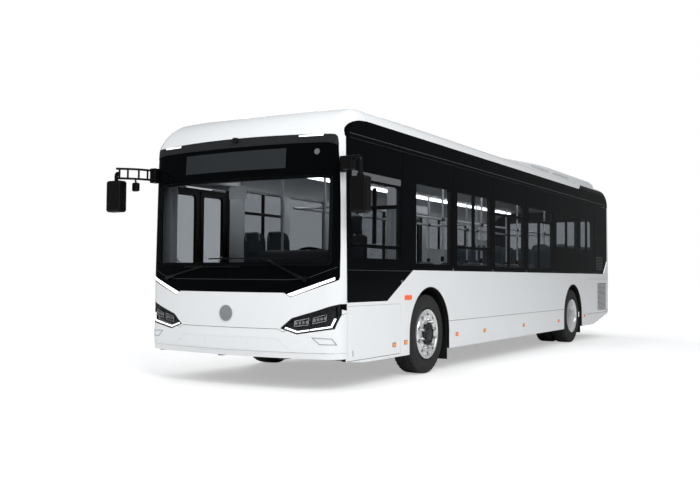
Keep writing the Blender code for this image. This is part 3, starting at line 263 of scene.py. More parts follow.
def other(name):
    """Finishes of small pieces that the record has no slot of their own for."""
    plain = {
        "lining": ((0.42, 0.43, 0.44), 0.55, {"grain": 300, "bump": 0.05}),
        "ceiling": ((0.50, 0.51, 0.52), 0.50, {"grain": 300, "bump": 0.04}),
        # Near-black for the cores and backings behind seams, slots and grilles: painted shade
        "painted_shade_black": ((0.01, 0.01, 0.01), 0.7, {}),
        "rubber_seal": ((0.010, 0.010, 0.010), 0.60, {"grain": 600, "bump": 0.10, "shine": 0.2}),
        "moulded_seal": ((0.004, 0.004, 0.0045), 0.35, {"grain": 800, "bump": 0.06, "shine": 0.15}),
        "amber_lens": (tuple(colours().marker), 0.16, {"coat": 0.6, "cloud": 60, "glow": 0.25}),
        "red_orange_lens": ((0.90, 0.10, 0.01), 0.16, {"coat": 0.6, "cloud": 60, "glow": 0.25}),
        "white_light": ((1.0, 1.0, 1.0), 0.3, {"glow": 1.6, "vary": 0.01}),
        "soft_light": ((0.95, 0.97, 1.0), 0.4, {"glow": 1.1, "vary": 0.01}),
        "chrome": ((0.85, 0.86, 0.87), 0.08, {"metal": 1.0, "rough_vary": 0.03}),
        "mirror_glass": ((0.80, 0.82, 0.84), 0.03, {"metal": 1.0, "rough_vary": 0.01}),
        "lamp_chamber": ((0.020, 0.021, 0.023), 0.22, {"metal": 0.4}),
        "satin_silver": ((0.50, 0.51, 0.52), 0.30, {"metal": 0.9, "grain": 500, "bump": 0.03}),
        "display": ((0.024, 0.028, 0.031), 0.40, {"grain": 260, "bump": 0.10, "shine": 0.1}),
        "seat_fabric": ((0.030, 0.050, 0.075), 0.85, {"grain": 700, "bump": 0.5, "vary": 0.25, "cloud": 60}),
        "reflector": ((0.50, 0.015, 0.010), 0.15, {"coat": 0.6, "cloud": 80}),
        "red_lens": ((0.42, 0.010, 0.008), 0.12, {"coat": 0.6, "cloud": 40, "vary": 0.2, "glow": 0.15}),
        # Dark grey for thin lines on the black: a painted highlight along an edge or fold
        "edge_painted_highlight": ((0.10, 0.11, 0.12), 0.30, {"metal": 0.6}),
        "ceiling_light": ((1.0, 1.0, 1.0), 0.4, {"glow": 12.0, "vary": 0.01}),
        # Pale grey with a faint glow: painted light, as these parts are no lamps
        "mirror_back_painted_glow": ((0.60, 0.61, 0.62), 0.5, {"glow": 0.25, "vary": 0.02}),
        "blind_grey": ((0.10, 0.105, 0.11), 0.7, {"grain": 300, "bump": 0.05}),
        "louvre_white": ((0.55, 0.56, 0.57), 0.45, {"grain": 400, "bump": 0.05}),
        "grab_grey": ((0.30, 0.31, 0.32), 0.40, {"grain": 500, "bump": 0.04}),
        "satin_grey": ((0.16, 0.165, 0.17), 0.45, {"grain": 500, "bump": 0.05}),
        "dark_fabric": ((0.018, 0.019, 0.021), 0.85, {"grain": 700, "bump": 0.5, "vary": 0.25, "cloud": 60}),
        "dash_grey": ((0.030, 0.031, 0.033), 0.55, {"grain": 500, "bump": 0.08, "shine": 0.3}),
        "visor_black": ((0.020, 0.022, 0.024), 0.22, {"shine": 0.2}),
        "signal_yellow": ((0.72, 0.50, 0.02), 0.55, {"grain": 500, "bump": 0.10}),
        "grille_dark": ((0.02, 0.021, 0.022), 0.35, {}),
        "grille_grey": ((0.33, 0.34, 0.35), 0.45, {"grain": 400, "bump": 0.05}),
        "hub_black": ((0.010, 0.010, 0.011), 0.34, {"grain": 260, "bump": 0.06, "shine": 0.3}),
    }
    if name == "door_glass":
        return glazing(name, (0.66, 0.68, 0.7))
    colour, rough, more = plain[name]
    return surface(name, colour, rough, **more)


def skin(name):
    return finishes().get(name) or other(name)


# Modelling helpers

def clear():
    """Object mode with nothing selected."""
    if bpy.context.object and bpy.context.object.mode != "OBJECT":
        bpy.ops.object.mode_set(mode="OBJECT")
    bpy.ops.object.select_all(action="DESELECT")


def take(*objs):
    """Select these alone, the first of them active."""
    clear()
    for obj in objs:
        obj.select_set(True)
    bpy.context.view_layer.objects.active = objs[0]
    return objs[0]


def settle(obj):
    """Put an object's place, turn and size into its mesh."""
    take(obj)
    bpy.ops.object.transform_apply(location=True, rotation=True, scale=True)
    return obj


def apply(obj, kind, **values):
    """Add one modifier and apply it."""
    take(obj)
    modifier = obj.modifiers.new(kind.lower(), kind)
    for key, value in values.items():
        setattr(modifier, key, value)
    bpy.ops.object.modifier_apply(modifier=modifier.name)
    return obj


def round_edges(obj, width=None, segments=2, angle=40):
    return apply(obj, "BEVEL", width=sizes().edge if width is None else width, segments=segments,
                 limit_method="ANGLE", angle_limit=radians(angle), harden_normals=True)


def smooth(obj, angle=35):
    take(obj)
    bpy.ops.object.shade_smooth_by_angle(angle=radians(angle))
    return apply(obj, "WEIGHTED_NORMAL", keep_sharp=True, weight=80)


def outward(obj, merge=0.0001):
    """Merge doubles and point every face out."""
    take(obj)
    bpy.ops.object.mode_set(mode="EDIT")
    bpy.ops.mesh.select_all(action="SELECT")
    bpy.ops.mesh.remove_doubles(threshold=merge)
    bpy.ops.mesh.normals_make_consistent(inside=False)
    bpy.ops.object.mode_set(mode="OBJECT")
    return obj


def coat(obj, *names):
    """Give an object these finishes, one to a slot."""
    obj.data.materials.clear()
    for name in names:
        obj.data.materials.append(skin(name))
    return obj


def block(low, high, edge=0.0, segments=2):
    """A block between two (x, s, z) corners with rounded edges."""
    clear()
    low, high = Vector(low), Vector(high)
    middle, size = (low + high) / 2, high - low
    bpy.ops.mesh.primitive_cube_add(size=1, location=(middle.x, middle.y + AXLE_Y, middle.z))
    obj = bpy.context.object
    obj.scale = [abs(v) for v in size]
    settle(obj)
    if edge:
        bpy.ops.object.mode_set(mode="EDIT")
        bpy.ops.mesh.select_all(action="SELECT")
        bpy.ops.mesh.bevel(offset=edge, segments=segments, affect="EDGES")
        bpy.ops.object.mode_set(mode="OBJECT")
    return obj


def cylinder(centre, radius, depth, axis="X", steps=24, edge=0.0):
    """A round block about an axis through an (x, s, z) centre."""
    clear()
    turn = {"X": (0, pi / 2, 0), "Y": (pi / 2, 0, 0), "Z": (0, 0, 0)}[axis]
    at = (centre[0], centre[1] + AXLE_Y, centre[2])
    bpy.ops.mesh.primitive_cylinder_add(vertices=steps, radius=radius, depth=depth, location=at,
                                        rotation=turn)
    obj = settle(bpy.context.object)
    if edge:
        round_edges(obj, edge)
    return obj


def plate(loops, view, near, far):
    """A flat sheet between two depths from one outer loop and any holes.

    view "side" reads a loop as (s, z) with depths in x, "front" as (x, z) with depths in s and
    "plan" as (x, s) with depths in z.
    """
    curve = bpy.data.curves.new("sheet", "CURVE")
    curve.dimensions = "2D"
    curve.fill_mode = "BOTH"
    curve.extrude = abs(far - near) / 2
    for loop in loops:
        spline = curve.splines.new("POLY")
        spline.points.add(len(loop) - 1)
        for point, (u, v) in zip(spline.points, loop):
            point.co = (u, v, 0, 1)
        spline.use_cyclic_u = True
    obj = bpy.data.objects.new("sheet", curve)
    bpy.context.scene.collection.objects.link(obj)
    middle = (near + far) / 2
    obj.location, obj.rotation_euler = {
        "side": ((middle, AXLE_Y, 0), (pi / 2, 0, pi / 2)),
        "front": ((0, middle + AXLE_Y, 0), (pi / 2, 0, 0)),
        "plan": ((0, AXLE_Y, middle), (0, 0, 0)),
    }[view]
    take(obj)
    bpy.ops.object.convert(target="MESH")
    obj = settle(bpy.context.object)
    return outward(obj, 0.00002)


def pipe(points, radius, steps=4, taper=None):
    """A round bar along (x, s, z) points; a taper is its last radius over its first."""
    curve = bpy.data.curves.new("bar", "CURVE")
    curve.dimensions = "3D"
    curve.bevel_depth = radius
    curve.bevel_resolution = steps
    curve.use_fill_caps = True
    spline = curve.splines.new("POLY")
    spline.points.add(len(points) - 1)
    for i, (point, (x, s, z)) in enumerate(zip(spline.points, points)):
        point.co = (x, s + AXLE_Y, z, 1)
        point.radius = 1.0 if taper is None else 1 + (taper - 1) * i / (len(points) - 1)
    obj = bpy.data.objects.new("bar", curve)
    bpy.context.scene.collection.objects.link(obj)
    take(obj)
    bpy.ops.object.convert(target="MESH")
    return smooth(outward(bpy.context.object))


def rounded_path(points, reach, steps=5):
    """Points with each inner corner swept round over this reach."""
    path = [Vector(points[0])]
    for before, at, after in zip(points, points[1:], points[2:]):
        at = Vector(at)
        start = at + (Vector(before) - at).normalized() * min(reach, (Vector(before) - at).length / 2)
        end = at + (Vector(after) - at).normalized() * min(reach, (Vector(after) - at).length / 2)
        for i in range(steps + 1):
            t = i / steps
            path.append(start * (1 - t) ** 2 + at * 2 * t * (1 - t) + end * t ** 2)
    return path + [Vector(points[-1])]


def rounded(low_u, low_v, high_u, high_v, radius, steps=5):
    """A rectangle with round corners as a loop of points."""
    loop = []
    for u, v, start in ((high_u - radius, high_v - radius, 0), (low_u + radius, high_v - radius, 90),
                        (low_u + radius, low_v + radius, 180), (high_u - radius, low_v + radius, 270)):
        turns = [radians(start + 90 * i / steps) for i in range(steps + 1)]
        loop += [(u + radius * cos(turn), v + radius * sin(turn)) for turn in turns]
    return loop


def fillet(loop, radius, steps=4):
    """A loop with each corner rounded off."""
    out = []
    for before, at, after in zip(loop[-1:] + loop[:-1], loop, loop[1:] + loop[:1]):
        at, before, after = Vector(at), Vector(before), Vector(after)
        reach = min(radius, (before - at).length / 2.05, (after - at).length / 2.05)
        start, end = at + (before - at).normalized() * reach, at + (after - at).normalized() * reach
        for i in range(steps + 1):
            t = i / steps
            point = start * (1 - t) ** 2 + at * 2 * t * (1 - t) + end * t ** 2
            out.append((point.x, point.y))
    return out


def inset_loop(loop, gap):
    """A counter-clockwise loop drawn in by a gap, each edge kept parallel."""
    area = sum(a[0] * b[1] - b[0] * a[1] for a, b in zip(loop, loop[1:] + loop[:1]))
    side = gap if area > 0 else -gap
    out = []
    for before, at, after in zip(loop[-1:] + loop[:-1], loop, loop[1:] + loop[:1]):
        a = (Vector(at) - Vector(before)).normalized()
        b = (Vector(after) - Vector(at)).normalized()
        first, second = Vector((-a.y, a.x)), Vector((-b.y, b.x))
        lean = (first + second)
        lean = lean / max(0.25, lean.dot(first))
        out.append((at[0] + lean.x * side, at[1] + lean.y * side))
    return out


def bisect(obj, at, normal):
    """Cut all faces along one plane, at an (x, s, z) point."""
    take(obj)
    bpy.ops.object.mode_set(mode="EDIT")
    bpy.ops.mesh.select_all(action="SELECT")
    bpy.ops.mesh.bisect(plane_co=(at[0], at[1] + AXLE_Y, at[2]), plane_no=normal)
    bpy.ops.object.mode_set(mode="OBJECT")
    return obj


def divide(obj, axis, places):
    """Cut an object at each place along an axis, so that it can follow a curve."""
    take(obj)
    bpy.ops.object.mode_set(mode="EDIT")
    for place in places:
        at, normal = [0, 0, 0], [0, 0, 0]
        at[axis], normal[axis] = place + (AXLE_Y if axis == 1 else 0), 1
        bpy.ops.mesh.select_all(action="SELECT")
        bpy.ops.mesh.bisect(plane_co=at, plane_no=normal)
    bpy.ops.object.mode_set(mode="OBJECT")
    return obj


def merged(*objs):
    """One object out of several."""
    take(*objs)
    if len(objs) > 1:
        bpy.ops.object.join()
    return bpy.context.object


def boolean(obj, cutter):
    """Cut a shape out of an object and drop the cutter."""
    apply(obj, "BOOLEAN", operation="DIFFERENCE", object=cutter, solver="EXACT")
    bpy.data.objects.remove(cutter, do_unlink=True)
    return obj


def steps_between(low, high, count):
    """Evenly spaced values from low to high, both of them in it."""
    return [low + (high - low) * i / count for i in range(count + 1)]


# The record's slot that stands for a finish which has none of its own; the rest are black plastic
SLOT_OF = {
    **dict.fromkeys(("hub_black",), "frame_steel"),
    **dict.fromkeys(("grab_grey", "satin_silver",), "rail_steel"),
    **dict.fromkeys(("mirror_glass",), "rim_alloy"),
    **dict.fromkeys(("chrome", "white_light",), "lamp_lens"),
    **dict.fromkeys(("red_lens", "amber_lens", "red_orange_lens", "reflector",), "tail_lens"),
    **dict.fromkeys(("ceiling", "ceiling_light", "soft_light", "lining", "louvre_white", "grille_grey",),
                    "white_paint"),
    **dict.fromkeys(("seat_fabric", "dark_fabric",), "seat_shell"),
    **dict.fromkeys(("signal_yellow",), "floor_covering"),
    **dict.fromkeys(("blind_grey", "visor_black",), "black_glass"),
}


def piece(obj, name, finish_names, body=BODY, replaces=(), slot=None, angle=35):
    """Name, coat and seat a finished piece, riding on its body."""
    if isinstance(finish_names, str):
        finish_names = (finish_names,)
    if finish_names:
        coat(obj, *finish_names)
    settle(smooth(obj, angle))
    obj.name = obj.data.name = name
    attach(obj, body)
    if replaces:
        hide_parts(*replaces)
    first = finish_names[0] if finish_names else ""
    slot or SLOT_OF.get(first) or (first if first in finishes() else "black_plastic")
    return obj


# The front's form

def front_plan():
    """Half of the front in plan as rows of (length along it, x, reach, inward x, inward reach)."""
    half, bow, radius = SIDE_X, 0.123, 0.2
    angle = radians(80)
    for _ in range(12):
        corner_x = half - radius * (1 - cos(angle))
        angle = pi / 2 - atan(2 * bow * corner_x)
    centre = FRONT_REACH - bow * corner_x ** 2 - radius * sin(angle)
    points = [(corner_x * i / 40, FRONT_REACH - bow * (corner_x * i / 40) ** 2) for i in range(41)]
    for i in range(1, 25):
        turn = angle * (1 - i / 24)
        points.append((half - radius * (1 - cos(turn)), centre + radius * sin(turn)))
    points.append((half, -FRONT_SEAM_S))
    rows, along = [], 0.0
    for i, (x, reach) in enumerate(points):
        if i:
            along += sqrt((x - points[i - 1][0]) ** 2 + (reach - points[i - 1][1]) ** 2)
        before, after = points[max(0, i - 1)], points[min(len(points) - 1, i + 1)]
        run = Vector((after[0] - before[0], after[1] - before[1])).normalized()
        if i == 0:
            run = Vector((1, 0))
        rows.append((along, x, reach, run.y, -run.x))
    return rows


FRONT_PLAN = front_plan()
FRONT_TURNS = [row[0] for row in FRONT_PLAN]
FRONT_HALF = FRONT_TURNS[-1]
HEAD_Z, HEAD_LEAN, HEAD_RISE = 2.62, 0.105, 0.04
FRONT_LEAN = ((0.33, 0.03), (0.4, 0.01), (0.53, 0.0), (0.97, 0.006), (1.28, 0.015),
              (2.19, 0.06), (2.45, 0.08), (2.64, 0.105))
# The rear's plan: a shallow bow between two round corners, which start at REAR_CORNER_S
REAR_RADIUS, REAR_BOW, REAR_HEAD_LEAN = 0.12, 0.015, 0.085
REAR_ARC = REAR_RADIUS * pi / 2
REAR_CORNER_U = SIDE_X - REAR_RADIUS
REAR_CORNER_S = REAR_REACH - REAR_BOW * REAR_CORNER_U ** 2 - REAR_RADIUS
REAR_LEAN = ((0.45, 0.02), (0.6, 0.0), (1.2, 0.0), (1.5, 0.015), (2.64, 0.09))


def eased(table, at):
    """A value read off a short table, with its bends smoothed over."""
    def read(place):
        if place <= table[0][0]:
            return table[0][1]
        for (low, first), (high, second) in zip(table, table[1:]):
            if place <= high:
                return first + (second - first) * (place - low) / (high - low)
        return table[-1][1]
    return (read(at - 0.03) + 2 * read(at) + read(at + 0.03)) / 4


def front_at(u, z, depth=0.0):
    """The (x, s, z) point on the front at a length round it, a height, and a depth under its skin."""
    side, u = (1, u) if u >= 0 else (-1, -u)
    u = min(u, FRONT_HALF)
    i = min(max(1, bisect_right(FRONT_TURNS, u)), len(FRONT_PLAN) - 1)
    low, high = FRONT_PLAN[i - 1], FRONT_PLAN[i]
    t = (u - low[0]) / (high[0] - low[0])
    x, reach, in_x, in_reach = [low[k] + (high[k] - low[k]) * t for k in (1, 2, 3, 4)]
    weight = (reach + FRONT_SEAM_S) / (FRONT_REACH + FRONT_SEAM_S)
    reach -= weight * eased(FRONT_LEAN, z)
    return side * (x + in_x * depth), -(reach + in_reach * depth), z


def round_of(x):
    """The length round the front to a point that far to the side."""
    side, x = (1, x) if x >= 0 else (-1, -x)
    for low, high in zip(FRONT_PLAN, FRONT_PLAN[1:]):
        if x <= high[1]:
            return side * (low[0] + (high[0] - low[0]) * (x - low[1]) / max(0.000001, high[1] - low[1]))
    return side * FRONT_HALF


def across(loop):
    """A loop of (x, z) read as lengths round the front."""
    return [(round_of(x), z) for x, z in loop]


FRONT_CUTS = [side * u for side in (-1, 1) for u in [0.09 * i for i in range(1, 13)]
              + [1.1 + 0.024 * i for i in range(1, 14)]] + [0]
HEIGHT_CUTS = [0.36 + 0.06 * i for i in range(38)]


def front_sheet(loops, depth, thick, divided=True):
    """A sheet that lies on the front, cut from loops of (length round, height)."""
    obj = plate(loops, "front", depth, depth + thick)
    if divided:
        xs = [v.co.x for v in obj.data.vertices]
        zs = [v.co.z for v in obj.data.vertices]
        divide(obj, 0, [u for u in FRONT_CUTS if min(xs) < u < max(xs)])
        divide(obj, 2, [z for z in HEIGHT_CUTS if min(zs) < z < max(zs)])
    for vertex in obj.data.vertices:
        x, s, z = front_at(vertex.co.x, vertex.co.z, vertex.co.y - AXLE_Y)
        vertex.co = (x, s + AXLE_Y, z)
    return outward(obj, 0.00005)


# Front panels

MASK_LOW = 1.0
# Half of the mask's outline, from its lower middle to its upper corner
MASK_EDGE = ((0.7, MASK_LOW), (0.775, 0.957), (1.222, 1.118), (1.247, 1.135), (1.253, 1.165), (1.254, 1.45),
             (1.25, 1.95), (1.243, 2.25), (1.232, 2.44))
MASK_CORNER = ((1.226, 2.56), (1.218, 2.596), (1.2, 2.616))
VISOR_SEAM = ((0.0, 2.54), (0.8, 2.54), (1.12, 2.534), (1.19, 2.52), (1.232, 2.5))
LAMP = [(0.665, 0.636), (0.845, 0.58), (1.222, 0.64), (1.262, 0.78), (1.262, 0.89), (1.19, 0.868),
        (1.06, 0.822), (0.79, 0.74)]


def head_point(u):
    """The (x, s, z) point of the front's head line at a length round it."""
    x, s, _ = front_at(u, HEAD_Z)
    ahead = (FRONT_SEAM_S - s) / (FRONT_REACH - HEAD_LEAN + FRONT_SEAM_S)
    return x, s, EAVE_Z + HEAD_RISE * min(1, max(0, ahead))


def head_z(u):
    return head_point(u)[2]


def front_cutter(loop):
    """A block through all of the front's sheets, in the outline of a loop of (x, z)."""
    return plate([loop], "front", -2.6, -1.8)


def both(half):
    """A line and its mirror image as one run from -x to +x."""
    return [(-x, z) for x, z in half[::-1]] + list(half)


class BUS_OT_front_panels(bpy.types.Operator):
    """White front panel, corner posts and bumper"""
    bl_idname = "bus.front_panels"
    bl_label = "Front Panels"

    def execute(self, context):
        gap = sizes().seam / 2
        edge = FRONT_HALF - 0.0005
        tops = [(u, head_z(u) - 0.0005) for u in steps_between(edge, round_of(1.15), 12)]
        seam = [(-1.262, 0.78), (-0.69, 0.6), (-0.64, 0.628), (0.64, 0.628), (0.69, 0.6), (1.262, 0.78)]
        slope = [(edge, 1.045), (edge, 0.8)]
        over = [(u, z) for u, z in tops if u < black_edge(2.6)]
        brow = [(black_edge(2.598), 2.598)] + over
        rim = [(round_of(x) + gap, z) for x, z in (MASK_CORNER[::-1] + MASK_EDGE[:1:-1])]
        rim += across([(0.775, 0.957 - gap * 1.2), (0.699, MASK_LOW - gap)])
        half = [(black_edge(1.045), 1.045), *brow, *rim]
        outer = [(-u, z) for u, z in slope[::-1]] + across([(x, z + gap) for x, z in seam]) + slope[::-1]
        rim = half + [(-u, z) for u, z in half[::-1]]
        panel = front_sheet([outer + rim], 0.0, FRONT_THICK)
        lamp_cut(panel)
        piece(round_edges(panel, segments=2), "front_panel", ("white_paint", "black_plastic"),
              replaces=("front_surround",))
        for side, sign in SIDES:
            loop = [(sign * u, z) for u, z in ((edge, 1.047), (edge, 2.599), (black_edge(2.599) + gap, 2.599),
                                               (black_edge(1.1) + gap, 1.1))]
            strip = front_sheet([loop], 0.0, FRONT_THICK)
            piece(strip, "corner_post_edge_" + side, "black_glass")
        bumper_loop = [(-edge, 0.395), (-edge, 0.8 - gap * 2)]
        bumper_loop += across([(x, z - gap) for x, z in seam]) + [(edge, 0.8 - gap * 2), (edge, 0.395)]
        bumper = front_sheet([bumper_loop], 0.0, FRONT_THICK)
        lamp_cut(bumper)
        grooves(bumper)
        piece(round_edges(bumper, segments=2), "bumper", "white_paint")
        lip = front_sheet([[(-edge, 0.332), (edge, 0.332), (edge, 0.395 - gap), (-edge, 0.395 - gap)]], 0.004,
                          0.02)
        piece(round_edges(lip, 0.006, 3), "bumper_lip", "white_paint")
        # A near-black core closes the seams from behind; its black is painted shade seen through the seams
        low = across([(1.24, 1.16), (0.79, 0.966), (0.7, 0.985)])
        half = [(edge, 0.34), (edge, 2.597), (round_of(1.222), 2.597), *low]
        core = front_sheet([half + [(-u, z) for u, z in half[::-1]]], 0.014, 0.024)
        lamp_cut(core)
        piece(core, "front_core", "painted_shade_black")
        return {"FINISHED"}


def black_edge(z):
    """Where the side's black begins, as a length round the front at a height."""
    return FRONT_HALF - 0.052 * max(0, (z - 1.045) / 1.555)


def lamp_cut(obj):
    """Cut both headlamps' openings through a front panel."""
    for sign in (1, -1):
        loop = inset_loop([(sign * x, z) for x, z in LAMP], -0.002)
        boolean(obj, front_cutter(loop))


def grooves(bumper):
    """The bumper's plate field and its side fold, as thin lines let into it."""
    for sign in (1, -1):
        fold = ((0.63, 0.53), (0.79, 0.385), (0.795, 0.385), (0.634, 0.533))
        boolean(bumper, front_sheet([across([(sign * x, z) for x, z in fold])], -0.01, 0.013))
    top = front_sheet([across([(-0.632, 0.53), (0.632, 0.53), (0.632, 0.5335), (-0.632, 0.5335)])], -0.01,
                      0.013)
    boolean(bumper, top)
    for x in (-0.284, 0.284):
        boolean(bumper, front_sheet([across([(x - 0.0015, 0.394), (x + 0.0015, 0.394), (x + 0.0015, 0.531),
                                             (x - 0.0015, 0.531)])], -0.01, 0.012))


# Mask, windscreen and lamps

SCREEN = (-1.19, 1.28, 1.19, 2.205)
LIGHT_STRIP = [(0.735, 0.984), (0.78, 0.964), (1.222, 1.134), (1.222, 1.16)]


class BUS_OT_front_mask(bpy.types.Operator):
    """Black mask with its visor, display window, light strips and windscreen"""
    bl_idname = "bus.front_mask"
    bl_label = "Front Mask"

    def execute(self, context):
        gap = sizes().seam / 2
        lower = both(MASK_EDGE)
        over = [(x, z - gap) for x, z in both(VISOR_SEAM[1:])][::-1]
        screen_hole = across(rounded(*SCREEN, 0.05))
        mask = front_sheet([across(lower + over), screen_hole], 0.0, FRONT_THICK)
        for sign in (1, -1):
            strip = inset_loop([(sign * x, z) for x, z in LIGHT_STRIP], -0.004)
            boolean(mask, front_cutter(strip))
        piece(round_edges(mask), "front_mask_panel", "black_glass", replaces=("front_mask",))
        for side, sign in SIDES:
            loop = across([(sign * x, z) for x, z in LIGHT_STRIP])
            strip = front_sheet([loop], 0.001, 0.01)
            piece(round_edges(strip, 0.003), "light_strip_" + side, "white_light")
        low = across([(x, z + gap) for x, z in both(VISOR_SEAM[1:])])
        brow = [(u, head_z(u) - 0.001) for u in steps_between(round_of(1.175), round_of(-1.175), 40)]
        corner = across(list(MASK_CORNER))
        crown = corner + brow + [(-u, z) for u, z in corner[::-1]]
        visor = front_sheet([low + crown], -0.003, 0.016)
        for sign in (1, -1):
            boolean(visor, front_sheet([across(rounded(*sorted_box(sign * 0.802, 2.606, sign * 1.078, 2.626),
                                                       0.008, 3))], -0.02, 0.03))
        piece(round_edges(visor, 0.003), "visor", "visor_black")
        for side, sign in SIDES:
            bar = front_sheet([across(rounded(*sorted_box(sign * 0.805, 2.609, sign * 1.075, 2.623), 0.006,
                                              3))],
                              -0.002, 0.012)
            piece(bar, "visor_light_" + side, "white_light")
        # A near-black core behind the mask: painted shade behind its seams and openings
        back = front_sheet([across(both([(0.7, 0.99), (0.775, 0.962), (1.235, 1.135), (1.235, 2.4),
                                         (1.21, 2.59)])),
                            across(rounded(-1.16, 1.31, 1.16, 2.175, 0.04))], 0.014, 0.028)
        piece(back, "mask_core", "painted_shade_black")
        screen = front_sheet([across(rounded(-1.187, 1.283, 1.187, 2.202, 0.048))], 0.001, 0.006)
        piece(screen, "windscreen_glass", "clear_glass", replaces=("windscreen",))
        # A thin grey strip on the mask's lower fold: a painted highlight along it
        fold = [(-1.236, 1.262), (-0.96, 1.15), (-0.76, 1.13), (0.76, 1.13), (0.96, 1.15), (1.236, 1.262)]
        line = front_sheet([across(fold + [(x, z + 0.0035) for x, z in fold[::-1]])], -0.0006, 0.003)
        piece(line, "mask_lower_seam", "edge_painted_highlight", slot="black_glass")
        display = front_sheet([across(rounded(-0.69, 2.287, 0.67, 2.495, 0.004, 2))], -0.001, 0.004)
        piece(display, "destination_display", "display", slot="black_glass")
        sensor = front_disc(1.018, 2.444, 0.03, 0.006)
        piece(sensor, "rain_light_sensor", "satin_silver")
        camera = block((0.002, -2.262, 2.592), (0.058, -2.19, 2.646), 0.012, 3)
        eye = cylinder((0.03, -2.264, 2.62), 0.015, 0.012, "Y", 20)
        piece(merged(camera, eye), "front_camera", "black_plastic")
        return {"FINISHED"}


def sorted_box(u1, v1, u2, v2):
    return min(u1, u2), v1, max(u1, u2), v2


def circle(x, z, radius):
    return [(x + radius * cos(radians(a)), z + radius * sin(radians(a))) for a in range(0, 360, 12)]


def front_disc(x, z, radius, proud):
    """A round button that stands on the front."""
    loop = across(circle(x, z, radius))
    return round_edges(front_sheet([loop], -proud, proud + 0.003, divided=False), 0.002, 2)


class BUS_OT_headlamps(bpy.types.Operator):
    """Headlamps with their chambers, light modules, day lights and covers"""
    bl_idname = "bus.headlamps"
    bl_label = "Headlamps"

    def execute(self, context):
        for side, sign in SIDES:
            def turned(points):
                return across([(sign * x, z) for x, z in points])
            inner = [(0.672, 0.637), (0.846, 0.584), (1.218, 0.644), (1.258, 0.782), (1.256, 0.884),
                     (1.188, 0.862),
                     (1.06, 0.816), (0.792, 0.735)]
            chamber = front_sheet([turned(inner)], 0.04, 0.01)
            wall = front_sheet([turned(inner), turned(inset_loop(inner, 0.01))], 0.003, 0.04)
            piece(merged(chamber, wall), "headlamp_chamber_" + side, "lamp_chamber", slot="lamp_lens")
            # Two light modules, each of a row of small projectors in a bright frame
            for number, (low_x, high_x, low_z, rise) in enumerate(((0.815, 0.965, 0.655, 0.02),
                                                                   (1.01, 1.15, 0.688, 0.03))):
                frame_loop = [(low_x, low_z), (high_x, low_z + rise), (high_x + 0.008, low_z + rise + 0.072),
                              (low_x + 0.004, low_z + 0.06)]
                rim = front_sheet([turned(frame_loop), turned(inset_loop(frame_loop, 0.006))], 0.01, 0.028)
                piece(round_edges(rim, 0.0015, 1), "lamp_module_frame_%s_%d" % (side, number + 1), "chrome")
                eyes = []
                for i in range(4):
                    t = (i + 0.5) / 4
                    x = low_x + (high_x - low_x) * t + 0.003
                    z = low_z + rise * t + 0.031
                    half = 0.011
                    eye = [(x - half, z - 0.015), (x + half, z - 0.013), (x + half, z + 0.017),
                           (x - half, z + 0.015)]
                    eyes.append(front_sheet([turned(fillet(eye, 0.005, 2))], 0.014, 0.022, divided=False))
                group = merged(*eyes)
                piece(round_edges(group, 0.002, 1), "lamp_projectors_%s_%d" % (side, number + 1),
                      "satin_silver", slot="lamp_lens")
            # Day light along the lower edge, in two lengths
            for number, line in enumerate((
                    ((0.712, 0.636), (0.846, 0.596), (0.975, 0.617), (0.975, 0.63), (0.85, 0.611),
                     (0.722, 0.648)),
                    ((0.99, 0.62), (1.205, 0.655), (1.236, 0.742), (1.223, 0.745), (1.194, 0.668),
                     (0.99, 0.634)))):
                light = front_sheet([turned(line)], 0.006, 0.012)
                piece(light, "day_light_%s_%d" % (side, number + 1), "white_light")
            cover = front_sheet([turned(inset_loop(inner, 0.0015))], 0.0005, 0.0025)
            piece(cover, "headlamp_cover_" + side, "lamp_lens", replaces=("headlamp_" + side,))
            # The black tail that runs from the lamp to the side seam
            start = round_of(1.258)
            tail = [(start, 0.836), (FRONT_HALF - 0.001, 0.822), (FRONT_HALF - 0.001, 0.892), (start, 0.888)]
            tail = front_sheet([[(sign * u, z) for u, z in tail]], -0.001, 0.01)
            piece(tail, "lamp_tail_" + side, "black_glass")
            fog = [(1.0, 0.553), (1.205, 0.545), (1.242, 0.478), (1.085, 0.48)]
            bezel = front_sheet([turned(fog), turned(inset_loop(fog, 0.008))], -0.002, 0.012)
            piece(round_edges(bezel, 0.002), "fog_lamp_bezel_" + side, "grille_grey", slot="lamp_lens")
            cells = [front_sheet([turned([(x, 0.487), (x + 0.027, 0.487), (x + 0.022, 0.541),
                                          (x - 0.005, 0.541)])],
                                 0.001, 0.006, divided=False) for x in (1.085, 1.118, 1.151, 1.184)]
            group = merged(*cells)
            piece(round_edges(group, 0.002, 1), "fog_lamp_cells_" + side, "satin_silver", slot="lamp_lens")
        badge = front_disc(0.0, 0.775, 0.08, 0.007)
        ring = front_ring(0.0, 0.775, 0.084, 0.066, 0.01)
        piece(merged(badge, ring), "blank_badge", "satin_silver")
        return {"FINISHED"}


def front_ring(x, z, outer, inner, proud):
    loops = [across(circle(x, z, radius)) for radius in (outer, inner)]
    return round_edges(front_sheet(loops, -proud, proud + 0.002, divided=False), 0.003, 2)


# Side walls and glazing

